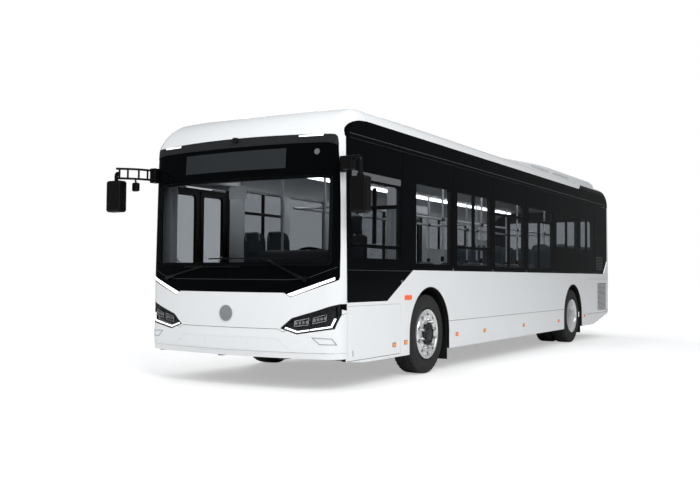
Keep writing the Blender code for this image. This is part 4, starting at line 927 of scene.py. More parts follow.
ARCH_HALF, ARCH_TOP_Z, ARCH_STEPS = 0.555, 1.05, 28
ARCH_CENTRE_Z = ARCH_TOP_Z - ARCH_HALF
LINER_RADIUS, LINER_CENTRE_Z, LINER_IN_X, LINER_OUT_X = 0.596, 0.47, 0.59, 1.228
REAR_ARCH_S = REAR_AXLE_S - 0.05
SKIRT_Z, BELT_Z, SKIRT_SEAM_Z = 0.27, 1.245, 0.615
BAND_FRONT_S, BAND_REAR_S, BAND_LOW_Z, BAND_TOP_Z = -1.95, 8.318, 0.9, 2.597
DOOR_HEAD_Z = 2.26
DOORS = ((-1.88, -0.78), (3.57, 4.83))
FLAPS = {"left_front_flap": (1, -1.945, -0.775, 0.3, 0.863),
         "left_rear_flap": (1, 6.84, 8.3, 0.48, 1.145),
         "right_rear_flap": (-1, 6.84, 8.3, 0.48, 1.145)}
BAND_LOW = ((BAND_FRONT_S, BAND_LOW_Z), (-1.1, BAND_LOW_Z), (-0.47, BELT_Z), (8.05, BELT_Z),
            (BAND_REAR_S, 1.5))
# Clear windows: (front, rear, sill, head, sash lines as (kind, place, low, high))
LEFT_WINDOWS = (
    (-1.88, -0.79, 1.360, 2.180, (("rail", 1.495), ("post", -1.35, 1.52, 2.13))),
    (-0.39, 0.6, 1.32, 2.28, ()),
    (0.80, 1.95, 1.320, 2.280, (("rail", 1.560), ("post", 1.38, 1.56, 2.28))),
    (2.13, 3.35, 1.320, 2.280, (("rail", 2.085), ("post", 2.74, 1.32, 2.085))),
    (3.55, 4.78, 1.320, 2.280, (("rail", 2.085), ("post", 4.12, 1.32, 2.085))),
    (4.99, 6.21, 1.7, 2.28, (("post", 5.62, 1.7, 2.28),)),
    (6.44, 7.35, 1.67, 2.28, (("post", 6.9, 1.67, 2.28),)),
    (7.47, 8.24, 1.95, 2.28, ()))
RIGHT_WINDOWS = (
    (-0.47, 0.42, 1.320, 2.280, (("rail", 2.000), ("post", -0.03, 1.32, 2.280))),
    (0.56, 1.5, 1.32, 2.28, ()),
    (1.64, 2.50, 1.320, 2.280, (("rail", 2.000), ("post", 2.07, 1.32, 2.280))),
    (2.64, 3.4, 1.32, 2.28, ()),
    (5.0, 6.21, 1.7, 2.28, (("post", 5.62, 1.7, 2.28),)),
    (6.44, 7.35, 1.67, 2.28, (("post", 6.9, 1.67, 2.28),)),
    (7.47, 8.24, 1.95, 2.28, ()))
LEFT_SEAMS = (-0.75, 0.67, 2.04, 3.45, 4.88, 6.33, 7.42)
RIGHT_SEAMS = (-0.625, 0.49, 1.57, 2.57, 3.49, 4.91, 6.33, 7.42)


def arch_loop(centre_s, radius, foot):
    """A wheel arch's edge from its front foot over to its rear foot."""
    loop = [(centre_s - radius, foot)]
    turns = [pi * i / ARCH_STEPS for i in range(ARCH_STEPS + 1)]
    loop += [(centre_s - radius * cos(turn), ARCH_CENTRE_Z + radius * sin(turn)) for turn in turns]
    return loop + [(centre_s + radius, foot)]


def low_at(s):
    """The glass band's lower edge at a station."""
    for (a, low), (b, high) in zip(BAND_LOW, BAND_LOW[1:]):
        if s <= b:
            return low + (high - low) * (s - a) / (b - a)
    return BAND_LOW[-1][1]


def side_sheet(sign, loops, depth, thick):
    """A flat sheet on a side, that far under the side's outer face."""
    near = sign * (SIDE_X - depth)
    return plate(loops, "side", near, near - sign * thick)


def side_cutter(sign, loop):
    """A block through all of a side's sheets, in the outline of a loop of (s, z)."""
    return plate([loop], "side", sign * 1.1, sign * 1.4)


def build_walls(side, sign, windows, doors):
    """Body panels of one side over a core with the window openings; the core's near-black outer face is
    painted shade behind the seams.
    """
    gap = sizes().seam / 2
    front, rear = FRONT_SEAM_S + 0.002, REAR_SEAM_S - 0.002
    flap_boxes = [rounded(f[1], f[3], f[2], f[4] + 0.002, 0.012, 3) for f in FLAPS.values() if f[0] == sign]
    # The outer panel runs under the glass band; a lower panel runs between the arches
    low = [(front, 0.3), (-1.6, SKIRT_Z)] + arch_loop(0, ARCH_HALF, SKIRT_Z)[:-1]
    upper = [p for p in low if p[0] < 0 or p[1] > SKIRT_SEAM_Z]
    angle = sqrt(max(0, ARCH_HALF ** 2 - (SKIRT_SEAM_Z - ARCH_CENTRE_Z) ** 2))
    upper += [(angle, SKIRT_SEAM_Z + gap), (REAR_ARCH_S - angle, SKIRT_SEAM_Z + gap)]
    upper += [p for p in arch_loop(REAR_ARCH_S, ARCH_HALF, SKIRT_Z)
              if p[1] > SKIRT_SEAM_Z or p[0] > REAR_ARCH_S]
    upper += [(7.3, SKIRT_Z), (rear, 0.44), (rear, 1.53), (8.06, BELT_Z + 0.03), (-0.485, BELT_Z + 0.03),
              (-1.115, BAND_LOW_Z + 0.03), (front, BAND_LOW_Z + 0.03)]
    skirt = [(ARCH_HALF, SKIRT_Z), (REAR_ARCH_S - ARCH_HALF, SKIRT_Z),
             (REAR_ARCH_S - ARCH_HALF, ARCH_CENTRE_Z),
             (REAR_ARCH_S - angle - 0.001, SKIRT_SEAM_Z - gap), (angle + 0.001, SKIRT_SEAM_Z - gap),
             (ARCH_HALF, ARCH_CENTRE_Z)]
    for label, loop, holes in (("panel", upper, flap_boxes), ("skirt", skirt, [])):
        panel = side_sheet(sign, [loop, *holes], SIDE_DEPTH, SIDE_THICK)
        for s0, s1 in doors:
            boolean(panel, block((sign * 1.2, s0, FLOOR_Z), (sign * 1.3, s1, 1.35)))
        piece(round_edges(panel), "%s_%s" % (side, label), "white_paint")
    # Corner posts of the band: the thin frame ahead of the glass, in black, and the white one behind it
    for label, s0, s1 in (("front", front, BAND_FRONT_S - 0.002), ("rear", BAND_REAR_S + 0.002, rear)):
        foot, top = BAND_LOW_Z if label == "front" else 1.5, EAVE_Z - 0.001
        post = side_sheet(sign, [[(s0, foot), (s1, foot), (s1, top), (s0, top)]], SIDE_DEPTH, SIDE_THICK)
        piece(post, "%s_%s_edge" % (side, label), "black_glass" if label == "front" else "white_paint",
              slot="white_paint")
    core_loop = [(front, 0.302), (-1.6, SKIRT_Z + 0.002)] + arch_loop(0, ARCH_HALF + 0.002, SKIRT_Z + 0.002)
    core_loop += arch_loop(REAR_ARCH_S, ARCH_HALF + 0.002, SKIRT_Z + 0.002)
    core_loop += [(7.3, SKIRT_Z + 0.002), (rear, 0.442), (rear, EAVE_Z - 0.002), (front, EAVE_Z - 0.002)]
    holes = [rounded(w[0], w[2], w[1], w[3], 0.035) for w in windows]
    core = side_sheet(sign, [core_loop, *holes], 0.012, 0.046)
    for s0, s1 in doors:
        boolean(core, block((sign * 1.1, s0, FLOOR_Z), (sign * 1.3, s1, DOOR_HEAD_Z)))
    round_edges(core, 0.004)
    # Outer faces near-black as painted shade behind the seams, inner faces the saloon's lining
    coat(core, "painted_shade_black", "lining")
    for face in core.data.polygons:
        face.material_index = 1 if face.normal.x * sign < -0.5 else 0
    piece(core, side + "_wall_core", (), replaces=(side + "_wall",), slot="white_paint")
    dress_arches(side, sign)


def dress_arches(side, sign):
    """Liners and rubber lips of the wheel arches, and the flaps behind the front wheels."""
    for label, centre_s in (("front", 0), ("rear", REAR_ARCH_S)):
        lip = side_sheet(sign, [arch_loop(centre_s, ARCH_HALF + 0.0005, SKIRT_Z + 0.004),
                                ], 0.002, 0.03)
        boolean(lip, side_cutter(sign, arch_loop(centre_s, ARCH_HALF - 0.01, SKIRT_Z - 0.05)))
        piece(round_edges(lip, 0.003), "%s_%s_arch_lip" % (side, label), "rubber_seal")
        radius, centre_z = LINER_RADIUS, LINER_CENTRE_Z
        foot = 0.33 if label == "front" else 0.625
        start = asin((foot - centre_z) / radius)
        turns = [start + (pi - 2 * start) * i / 36 for i in range(37)]
        outer = [(centre_s + radius * cos(t), centre_z + radius * sin(t)) for t in turns]
        inside = [(centre_s + (radius - 0.006) * cos(t), centre_z + (radius - 0.006) * sin(t))
                  for t in turns[::-1]]
        liner = plate([outer + inside], "side", sign * LINER_IN_X, sign * LINER_OUT_X)
        wall = plate([outer], "side", sign * (LINER_IN_X - 0.003), sign * (LINER_IN_X + 0.002))
        piece(merged(liner, wall), "%s_%s_arch_liner" % (side, label), "rubber_seal")
    mud = block((sign * 0.96, 0.562, 0.13), (sign * 1.235, 0.574, 0.34), 0.004)
    piece(mud, "%s_front_mud_flap" % side, "rubber_seal")
    mud = block((sign * 0.66, REAR_ARCH_S + 0.566, 0.15), (sign * 1.235, REAR_ARCH_S + 0.578, 0.44), 0.004)
    piece(mud, "%s_rear_mud_flap" % side, "rubber_seal")


def build_glazing(side, sign, windows, seams, doors):
    """The bonded glass of one side: black-bordered panes, clear lights and their sashes."""
    gap = sizes().seam / 2
    edges = [BAND_FRONT_S] + list(seams) + [BAND_REAR_S]
    frits, lights = [], []
    for low_s, high_s in zip(edges, edges[1:]):
        start = low_s + (gap if low_s > BAND_FRONT_S else 0)
        end = high_s - (gap if high_s < BAND_REAR_S else 0)
        bottom = [(s, z) for s, z in BAND_LOW if start < s < end]
        loop = [(start, low_at(start)), *bottom, (end, low_at(end)), (end, BAND_TOP_Z), (start, BAND_TOP_Z)]
        holes = []
        for s0, s1, sill, head, _ in windows:
            if start < s0 and s1 < end:
                holes.append(rounded(s0, sill, s1, head, 0.03))
                lights.append(side_sheet(sign, [rounded(s0 + 0.0004, sill + 0.0004, s1 - 0.0004,
                                                        head - 0.0004,
                                                        0.0296)], 0.0014, 0.005))
        pane = side_sheet(sign, [loop, *holes], 0.0006, 0.0065)
        for s0, s1 in doors:
            if s0 < end and s1 > start:
                boolean(pane, block((sign * 1.2, s0 - 0.0005, 0.2), (sign * 1.3, s1 + 0.0005, DOOR_HEAD_Z)))
        round_edges(pane, 0.0018, 1)
        frits.append(pane)
    piece(merged(*frits), side + "_glass_border", "black_glass", replaces=(side + "_glazing",))
    piece(merged(*lights), side + "_window_glass", "clear_glass")
    bars = []
    for s0, s1, sill, head, lines in windows:
        for line in lines:
            if line[0] == "rail":
                bars.append(block((sign * 1.222, s0 - 0.01, line[1] - 0.019),
                                  (sign * 1.2685, s1 + 0.01, line[1] + 0.019), 0.004))
            else:
                bars.append(block((sign * 1.226, line[1] - 0.014, line[2]),
                                  (sign * 1.2683, line[1] + 0.014, line[3]),
                                  0.004))
        rim = side_sheet(sign, [rounded(s0 - 0.02, sill - 0.02, s1 + 0.02, head + 0.02, 0.04),
                                rounded(s0 + 0.006, sill + 0.006, s1 - 0.006, head - 0.006, 0.03)], 0.0075,
                         0.006)
        bars.append(rim)
    piece(merged(*bars), side + "_window_sashes", "moulded_seal")


class BUS_OT_sides(bpy.types.Operator):
    """Body panels, wheel arches and bonded glass of both sides"""
    bl_idname = "bus.sides"
    bl_label = "Sides"

    def execute(self, context):
        for side, sign, windows, seams, doors in (("left", 1, LEFT_WINDOWS, LEFT_SEAMS, ()),
                                                  ("right", -1, RIGHT_WINDOWS, RIGHT_SEAMS, DOORS)):
            build_walls(side, sign, windows, doors)
            build_glazing(side, sign, windows, seams, doors)
        return {"FINISHED"}


class BUS_OT_flaps(bpy.types.Operator):
    """Service flaps of the sides with their grilles and locks"""
    bl_idname = "bus.flaps"
    bl_label = "Service Flaps"

    def execute(self, context):
        for name, (sign, front, rear, low, high) in FLAPS.items():
            loop = rounded(front + 0.0055, low + 0.0055, rear - 0.0055, high - 0.0005, 0.008, 3)
            skin_sheet = side_sheet(sign, [loop], SIDE_DEPTH, SIDE_THICK)
            if name.endswith("rear_flap"):
                grille = rounded(7.6, 0.53, 8.255, 1.06, 0.012, 3)
                boolean(skin_sheet, side_cutter(sign, grille))
                slats = [block((sign * 1.258, 7.602, z), (sign * 1.2725, 8.253, z + 0.016), 0.003)
                         for z in steps_between(0.536, 1.03, 20)]
                # A near-black sheet behind the slats: painted shade inside the grille
                backing = side_sheet(sign, [inset_loop(grille, -0.01)], 0.0165, 0.005)
                piece(merged(*slats), name + "_slats", "louvre_white", body=name)
                piece(backing, name + "_mesh", "painted_shade_black", body=name)
            else:
                slot = rounded(-1.838, 0.345, -1.822, 0.41, 0.006, 3)
                boolean(skin_sheet, side_cutter(sign, slot))
                # A near-black piece in the lock slot: painted shade inside it
                keeper = side_sheet(sign, [inset_loop(slot, -0.004)], 0.006, 0.006)
                piece(keeper, name + "_slot", "painted_shade_black", body=name)
            piece(round_edges(skin_sheet), name + "_skin", "white_paint", body=name, replaces=(name,))
            ring = [rounded(front + edge, low + edge, rear - edge, high - edge, 0.008, 3)
                    for edge in (0.03, 0.065)]
            frame = side_sheet(sign, ring, 0.011, 0.012)
            piece(round_edges(frame, 0.002), name + "_frame", "frame_steel", body=name)
            locks = [cylinder((sign * (SIDE_X - 0.0045), s, low + 0.045), 0.012, 0.007, "X", 20, 0.0015)
                     for s in ((rear - 0.16,) if name == "left_front_flap" else (front + 0.16, rear - 0.16))]
            piece(merged(*locks), name + "_locks", "satin_silver", body=name)
        return {"FINISHED"}


# Marker lamps of each side: (station, height)
MARKERS = ((-0.93, 0.41), (-0.65, 0.42), (0.79, 0.435), (1.73, 0.435), (3.32, 0.435), (5.08, 0.43),
           (6.68, 0.46), (8.28, 0.51))


class BUS_OT_markers(bpy.types.Operator):
    """Side marker lamps and turn repeaters"""
    bl_idname = "bus.markers"
    bl_label = "Side Markers"

    def execute(self, context):
        for side, sign in SIDES:
            for number, (s, z) in enumerate(MARKERS):
                if side == "right" and any(a - 0.06 < s < b + 0.06 for a, b in DOORS):
                    continue
                body = "left_front_flap" if side == "left" and number == 0 else BODY
                if s > 8.2:
                    s = 8.318
                wide = 0.016 if s > 8.2 else 0.036
                edge = rounded(s - wide - 0.005, z - 0.024, s + wide + 0.005, z + 0.024, 0.006, 3)
                lens_loop = rounded(s - wide, z - 0.019, s + wide, z + 0.019, 0.005, 3)
                base = side_sheet(sign, [edge, lens_loop], -0.002, 0.004)
                lens = side_sheet(sign, [lens_loop], -0.006, 0.01)
                piece(base, "%s_marker_base_%d" % (side, number + 1), "moulded_seal", body=body)
                piece(round_edges(lens, 0.0015), "%s_marker_%d" % (side, number + 1), "amber_lens", body=body)
            lens = side_sheet(sign, [rounded(-0.685, 0.905, -0.515, 0.958, 0.01, 3)], -0.008, 0.01)
            piece(round_edges(lens, 0.002), side + "_turn_repeater", "red_orange_lens")
        return {"FINISHED"}


# Roof

CAP_FRONT_S, CAP_REAR_S = -1.58, 8.05
ROOF_RADIUS, ROOF_CROWN = 0.17, 0.02
COVE_TOP_Z, COVE_STEP_Z, LEDGE_Z = 2.82, 2.915, 2.65


def roof_point(v):
    """The roof's section from an eave (v 0) to its middle (v 1), as x and z."""
    middle_x, middle_z = SIDE_X - ROOF_RADIUS, ROOF_Z - ROOF_CROWN - ROOF_RADIUS
    if v < 1 / 9:
        return SIDE_X, EAVE_Z + (middle_z - EAVE_Z) * v * 9
    if v < 5 / 9:
        turn = pi / 2 * (v * 9 - 1) / 4
        return middle_x + ROOF_RADIUS * cos(turn), middle_z + ROOF_RADIUS * sin(turn)
    x = middle_x * (1 - (v * 9 - 5) / 4)
    return x, ROOF_Z - ROOF_CROWN * (x / middle_x) ** 2


def front_head(v):
    """The front's head line, read with the roof's own spacing."""
    ninth = 1 / 9
    corner = round_of(1.1275)
    seam_run = FRONT_HALF - FRONT_TURNS[-2]
    if v < ninth:
        u = FRONT_HALF - seam_run * v / ninth
    elif v < 5 * ninth:
        u = FRONT_HALF - seam_run - (FRONT_HALF - seam_run - corner) * (v - ninth) / (4 * ninth)
    else:
        u = corner * (1 - (v - 5 * ninth) / (4 * ninth))
    return head_point(u)


def rear_head(v):
    """The rear's head line, read with the roof's own spacing."""
    ninth = 1 / 9
    if v < ninth:
        x, s = SIDE_X, REAR_SEAM_S + (REAR_CORNER_S - REAR_SEAM_S) * v / ninth
    elif v < 5 * ninth:
        turn = pi / 2 * (v - ninth) / (4 * ninth)
        x, s = SIDE_X - REAR_RADIUS * (1 - cos(turn)), REAR_CORNER_S + REAR_RADIUS * sin(turn)
    else:
        x = REAR_CORNER_U * (1 - (v - 5 * ninth) / (4 * ninth))
        s = REAR_REACH - REAR_BOW * x ** 2
    weight = (s - REAR_SEAM_S) / (REAR_REACH - REAR_SEAM_S)
    return x, s - REAR_HEAD_LEAN * weight, EAVE_Z + HEAD_RISE * max(0, weight)


def grid_sheet(columns, rows, point_at, thick):
    """A curved sheet from a grid whose points are laid by a function of (across, along) from 0 to 1."""
    clear()
    bpy.ops.mesh.primitive_grid_add(x_subdivisions=columns, y_subdivisions=rows, size=2)
    obj = bpy.context.object
    for vertex in obj.data.vertices:
        x, s, z = point_at(vertex.co.x, (vertex.co.y + 1) / 2)
        vertex.co = (x, s + AXLE_Y, z)
    outward(obj, 0.00001)
    middle = min(obj.data.polygons, key=lambda f: abs(f.center.x))
    if middle.normal.z < 0:
        obj.data.flip_normals()
    return apply(obj, "SOLIDIFY", thickness=thick, offset=-1, use_even_offset=False)


def cap_point(head, seam_s, slowness):
    """The rolled-over cap between an end's head line and the roof."""
    def at(across, along):
        side = 1 if across >= 0 else -1
        v = 1 - abs(across)
        x, s, z = head(v)
        roof_x, roof_z = roof_point(v)
        back, rise = 1 - cos(pi / 2 * along), sin(pi / 2 * along) ** slowness
        return side * (x + (roof_x - x) * back), s + (seam_s - s) * back, z + (roof_z - z) * rise
    return at


def paint_cove(obj, outline_points):
    """Black on the sides under a line given as (s, z) points, front to rear."""
    for (s0, z0), (s1, z1) in zip(outline_points, outline_points[1:]):
        normal = Vector((0, -(z1 - z0), s1 - s0)).normalized()
        bisect(obj, (0, s0, z0), normal)
    for face in obj.data.polygons:
        s, z = face.center.y - AXLE_Y, face.center.z
        for (s0, z0), (s1, z1) in zip(outline_points, outline_points[1:]):
            if s0 <= s <= s1 and z < z0 + (z1 - z0) * (s - s0) / (s1 - s0) and abs(face.center.x) > 1.0:
                face.material_index = 1


class BUS_OT_roof(bpy.types.Operator):
    """Roof sheet, its front and rear caps, the cove along the sides and the hatches"""
    bl_idname = "bus.roof"
    bl_label = "Roof"

    def execute(self, context):
        gap = sizes().seam / 2
        front = grid_sheet(96, 20, cap_point(front_head, CAP_FRONT_S - gap, 1.6), 0.01)
        coat(front, "white_paint", "black_glass")
        paint_cove(front, [(-2.013, 2.595), (-2.008, 2.665), (-1.985, 2.702), (-1.93, 2.745), (-1.85, 2.78),
                           (-1.74, 2.805), (-1.6, 2.818), (-1.5, COVE_TOP_Z)])
        piece(front, "front_roof_cap_skin", (), replaces=("front_roof_cap",), slot="white_paint")
        rear = grid_sheet(96, 16, cap_point(rear_head, CAP_REAR_S + gap, 0.8), 0.01)
        coat(rear, "white_paint", "black_glass")
        paint_cove(rear, [(8.0, COVE_STEP_Z), (8.16, 2.905), (8.27, 2.83), (8.345, 2.7), (8.375, 2.6)])
        piece(rear, "rear_roof_cap_skin", (), replaces=("rear_roof_cap",), slot="white_paint")

        def main_point(across, along):
            side = 1 if across >= 0 else -1
            x, z = roof_point(1 - abs(across))
            return side * x, CAP_FRONT_S + gap + (CAP_REAR_S - CAP_FRONT_S - 2 * gap) * along, z
        main = grid_sheet(96, 2, main_point, 0.01)
        coat(main, "white_paint", "black_glass")
        paint_cove(main, [(-1.6, COVE_TOP_Z), (6.33, COVE_TOP_Z), (6.55, COVE_STEP_Z), (8.1, COVE_STEP_Z)])
        piece(main, "roof_skin", (), replaces=("roof",), slot="white_paint")
        for side, sign in SIDES:
            drip = pipe([(sign * (SIDE_X - 0.002), s, EAVE_Z + 0.004) for s in (-1.93, 8.31)], 0.0055, 2)
            ledge_x = roof_x_at(LEDGE_Z)
            # The cove's step edge as a thin bar; its grey is a painted highlight
            ledge = pipe([(sign * ledge_x, s, LEDGE_Z) for s in (-1.93, 8.2)], 0.0035, 2)
            piece(drip, side + "_drip_rail", "rubber_seal")
            piece(ledge, side + "_cove_line", "edge_painted_highlight")
        for number, s in enumerate((0.3, 3.25)):
            hatch = block((-0.36, s - 0.36, ROOF_Z - 0.012), (0.36, s + 0.36, ROOF_Z + 0.04), 0.028, 4)
            rim = block((-0.4, s - 0.4, ROOF_Z - 0.016), (0.4, s + 0.4, ROOF_Z + 0.014), 0.008, 2)
            piece(merged(hatch, rim), "roof_hatch_%d" % (number + 1), "white_paint")
        for side, sign in SIDES:
            bead = [pipe([(sign * x, -1.5, roof_z_at(x) + 0.002), (sign * x, 4.2, roof_z_at(x) + 0.002)],
                         0.004, 2)
                    for x in (0.52, 0.86)]
            piece(merged(*bead), side + "_roof_beads", "white_paint")
        return {"FINISHED"}


def roof_search(is_below):
    """The point of the roof's section where a test on (x, z) stops being true."""
    low, high = 0.0, 1.0
    for _ in range(30):
        v = (low + high) / 2
        low, high = (v, high) if is_below(*roof_point(v)) else (low, v)
    return roof_point(low)


def roof_x_at(height):
    return roof_search(lambda x, z: z < height)[0]


def roof_z_at(place):
    return roof_search(lambda x, z: x > place)[1]


UNIT_HALF = 1.08
UNIT_LINE = ((2.3, 2.96), (3.7, 3.035), (4.6, 3.08), (5.1, 3.09), (7.7, 3.09), (8.02, 3.05))


def unit_z(s):
    for (s0, z0), (s1, z1) in zip(UNIT_LINE, UNIT_LINE[1:]):
        if s0 <= s <= s1:
            return z0 + (z1 - z0) * (s - s0) / (s1 - s0)
    return UNIT_LINE[-1][1]


class BUS_OT_roof_unit(bpy.types.Operator):
    """Ramped equipment fairing on the rear of the roof, with its lids and louvres"""
    bl_idname = "bus.roof_unit"
    bl_label = "Roof Unit"

    def execute(self, context):
        front, rear = UNIT_LINE[0][0], UNIT_LINE[-1][0]
        line = fillet([*UNIT_LINE, (rear, 2.8), (front, 2.8)], 0.05, 3)
        body = plate([line], "side", -UNIT_HALF, UNIT_HALF)
        under = [(-1.3, 2.5)] + [(x, roof_z_at(abs(x)) + 0.002)
                                 for x in steps_between(-1.2, 1.2, 60)] + [(1.3, 2.5)]
        boolean(body, plate([under], "front", front - 0.3, rear + 0.3))
        piece(round_edges(body, 0.028, 4, 25), "roof_unit_cover", "white_paint", replaces=("roof_pod",))
        for number, (s0, s1) in enumerate(((3.75, 4.5), (5.15, 6.35), (6.42, 7.62))):
            lid = plate([[(s0, unit_z(s0) - 0.01), (s1, unit_z(s1) - 0.01), (s1, unit_z(s1) - 0.0005),
                          (s0, unit_z(s0) - 0.0005)]], "side", -UNIT_HALF + 0.1, UNIT_HALF - 0.1)
            piece(round_edges(lid, 0.003, 2), "roof_unit_lid_%d" % (number + 1), "white_paint")
        for side, sign in SIDES:
            frames, slats = [], []
            for s0, s1 in ((4.2, 5.2), (5.36, 6.36)):
                low, high = 2.992, 3.052
                frame = plate([rounded(s0, low, s1, high, 0.012, 3),
                               rounded(s0 + 0.014, low + 0.01, s1 - 0.014,
                                                                             high - 0.01, 0.006, 2)],
                              "side", sign * (UNIT_HALF - 0.02), sign * (UNIT_HALF + 0.0015))
                frames.append(frame)
                slats += [plate([[(s, low + 0.01), (s + 0.012, low + 0.01), (s + 0.026, high - 0.01),
                                  (s + 0.014, high - 0.01)]], "side", sign * (UNIT_HALF - 0.02),
                                sign * (UNIT_HALF + 0.0008)) for s in steps_between(s0 + 0.03, s1 - 0.06, 30)]
            group = merged(*frames)
            piece(round_edges(group, 0.002), "roof_unit_vent_frames_" + side, "white_paint")
            piece(merged(*slats), "roof_unit_vent_slats_" + side, "grille_grey")
        return {"FINISHED"}


# Rear

def rear_at(u, z, depth=0.0):
    """The (x, s, z) point on the rear at a length round it and a height."""
    side, u = (1, u) if u >= 0 else (-1, -u)
    if u <= REAR_CORNER_U:
        x, reach, in_x, in_reach = u, REAR_REACH - REAR_BOW * u ** 2, 0.0, -1.0
    elif u <= REAR_CORNER_U + REAR_ARC:
        turn = pi / 2 - (u - REAR_CORNER_U) / REAR_RADIUS
        x, reach = REAR_CORNER_U + REAR_RADIUS * cos(turn), REAR_CORNER_S + REAR_RADIUS * sin(turn)
        in_x, in_reach = -cos(turn), -sin(turn)
    else:
        x, reach, in_x, in_reach = SIDE_X, REAR_CORNER_S - (u - REAR_CORNER_U - REAR_ARC), -1.0, 0.0
    weight = (reach - REAR_SEAM_S) / (REAR_REACH - REAR_SEAM_S)
    reach -= weight * eased(REAR_LEAN, z)
    return side * (x + in_x * depth), reach + in_reach * depth, z


REAR_HALF = REAR_CORNER_U + REAR_ARC + REAR_CORNER_S - REAR_SEAM_S
REAR_CUTS = ([0.12 * i for i in range(-9, 10)]
             + [sign * (REAR_CORNER_U + 0.024 * i) for sign in (-1, 1) for i in range(9)])


def rear_sheet(loops, depth, thick):
    """A sheet that lies on the rear, cut from loops of (length round, height)."""
    obj = plate(loops, "front", -depth, -depth - thick)
    xs = [v.co.x for v in obj.data.vertices]
    zs = [v.co.z for v in obj.data.vertices]
    divide(obj, 0, [u for u in REAR_CUTS if min(xs) < u < max(xs)])
    divide(obj, 2, [z for z in HEIGHT_CUTS if min(zs) < z < max(zs)])
    for vertex in obj.data.vertices:
        x, s, z = rear_at(vertex.co.x, vertex.co.z, AXLE_Y - vertex.co.y)
        vertex.co = (x, s + AXLE_Y, z)
    return outward(obj, 0.00005)


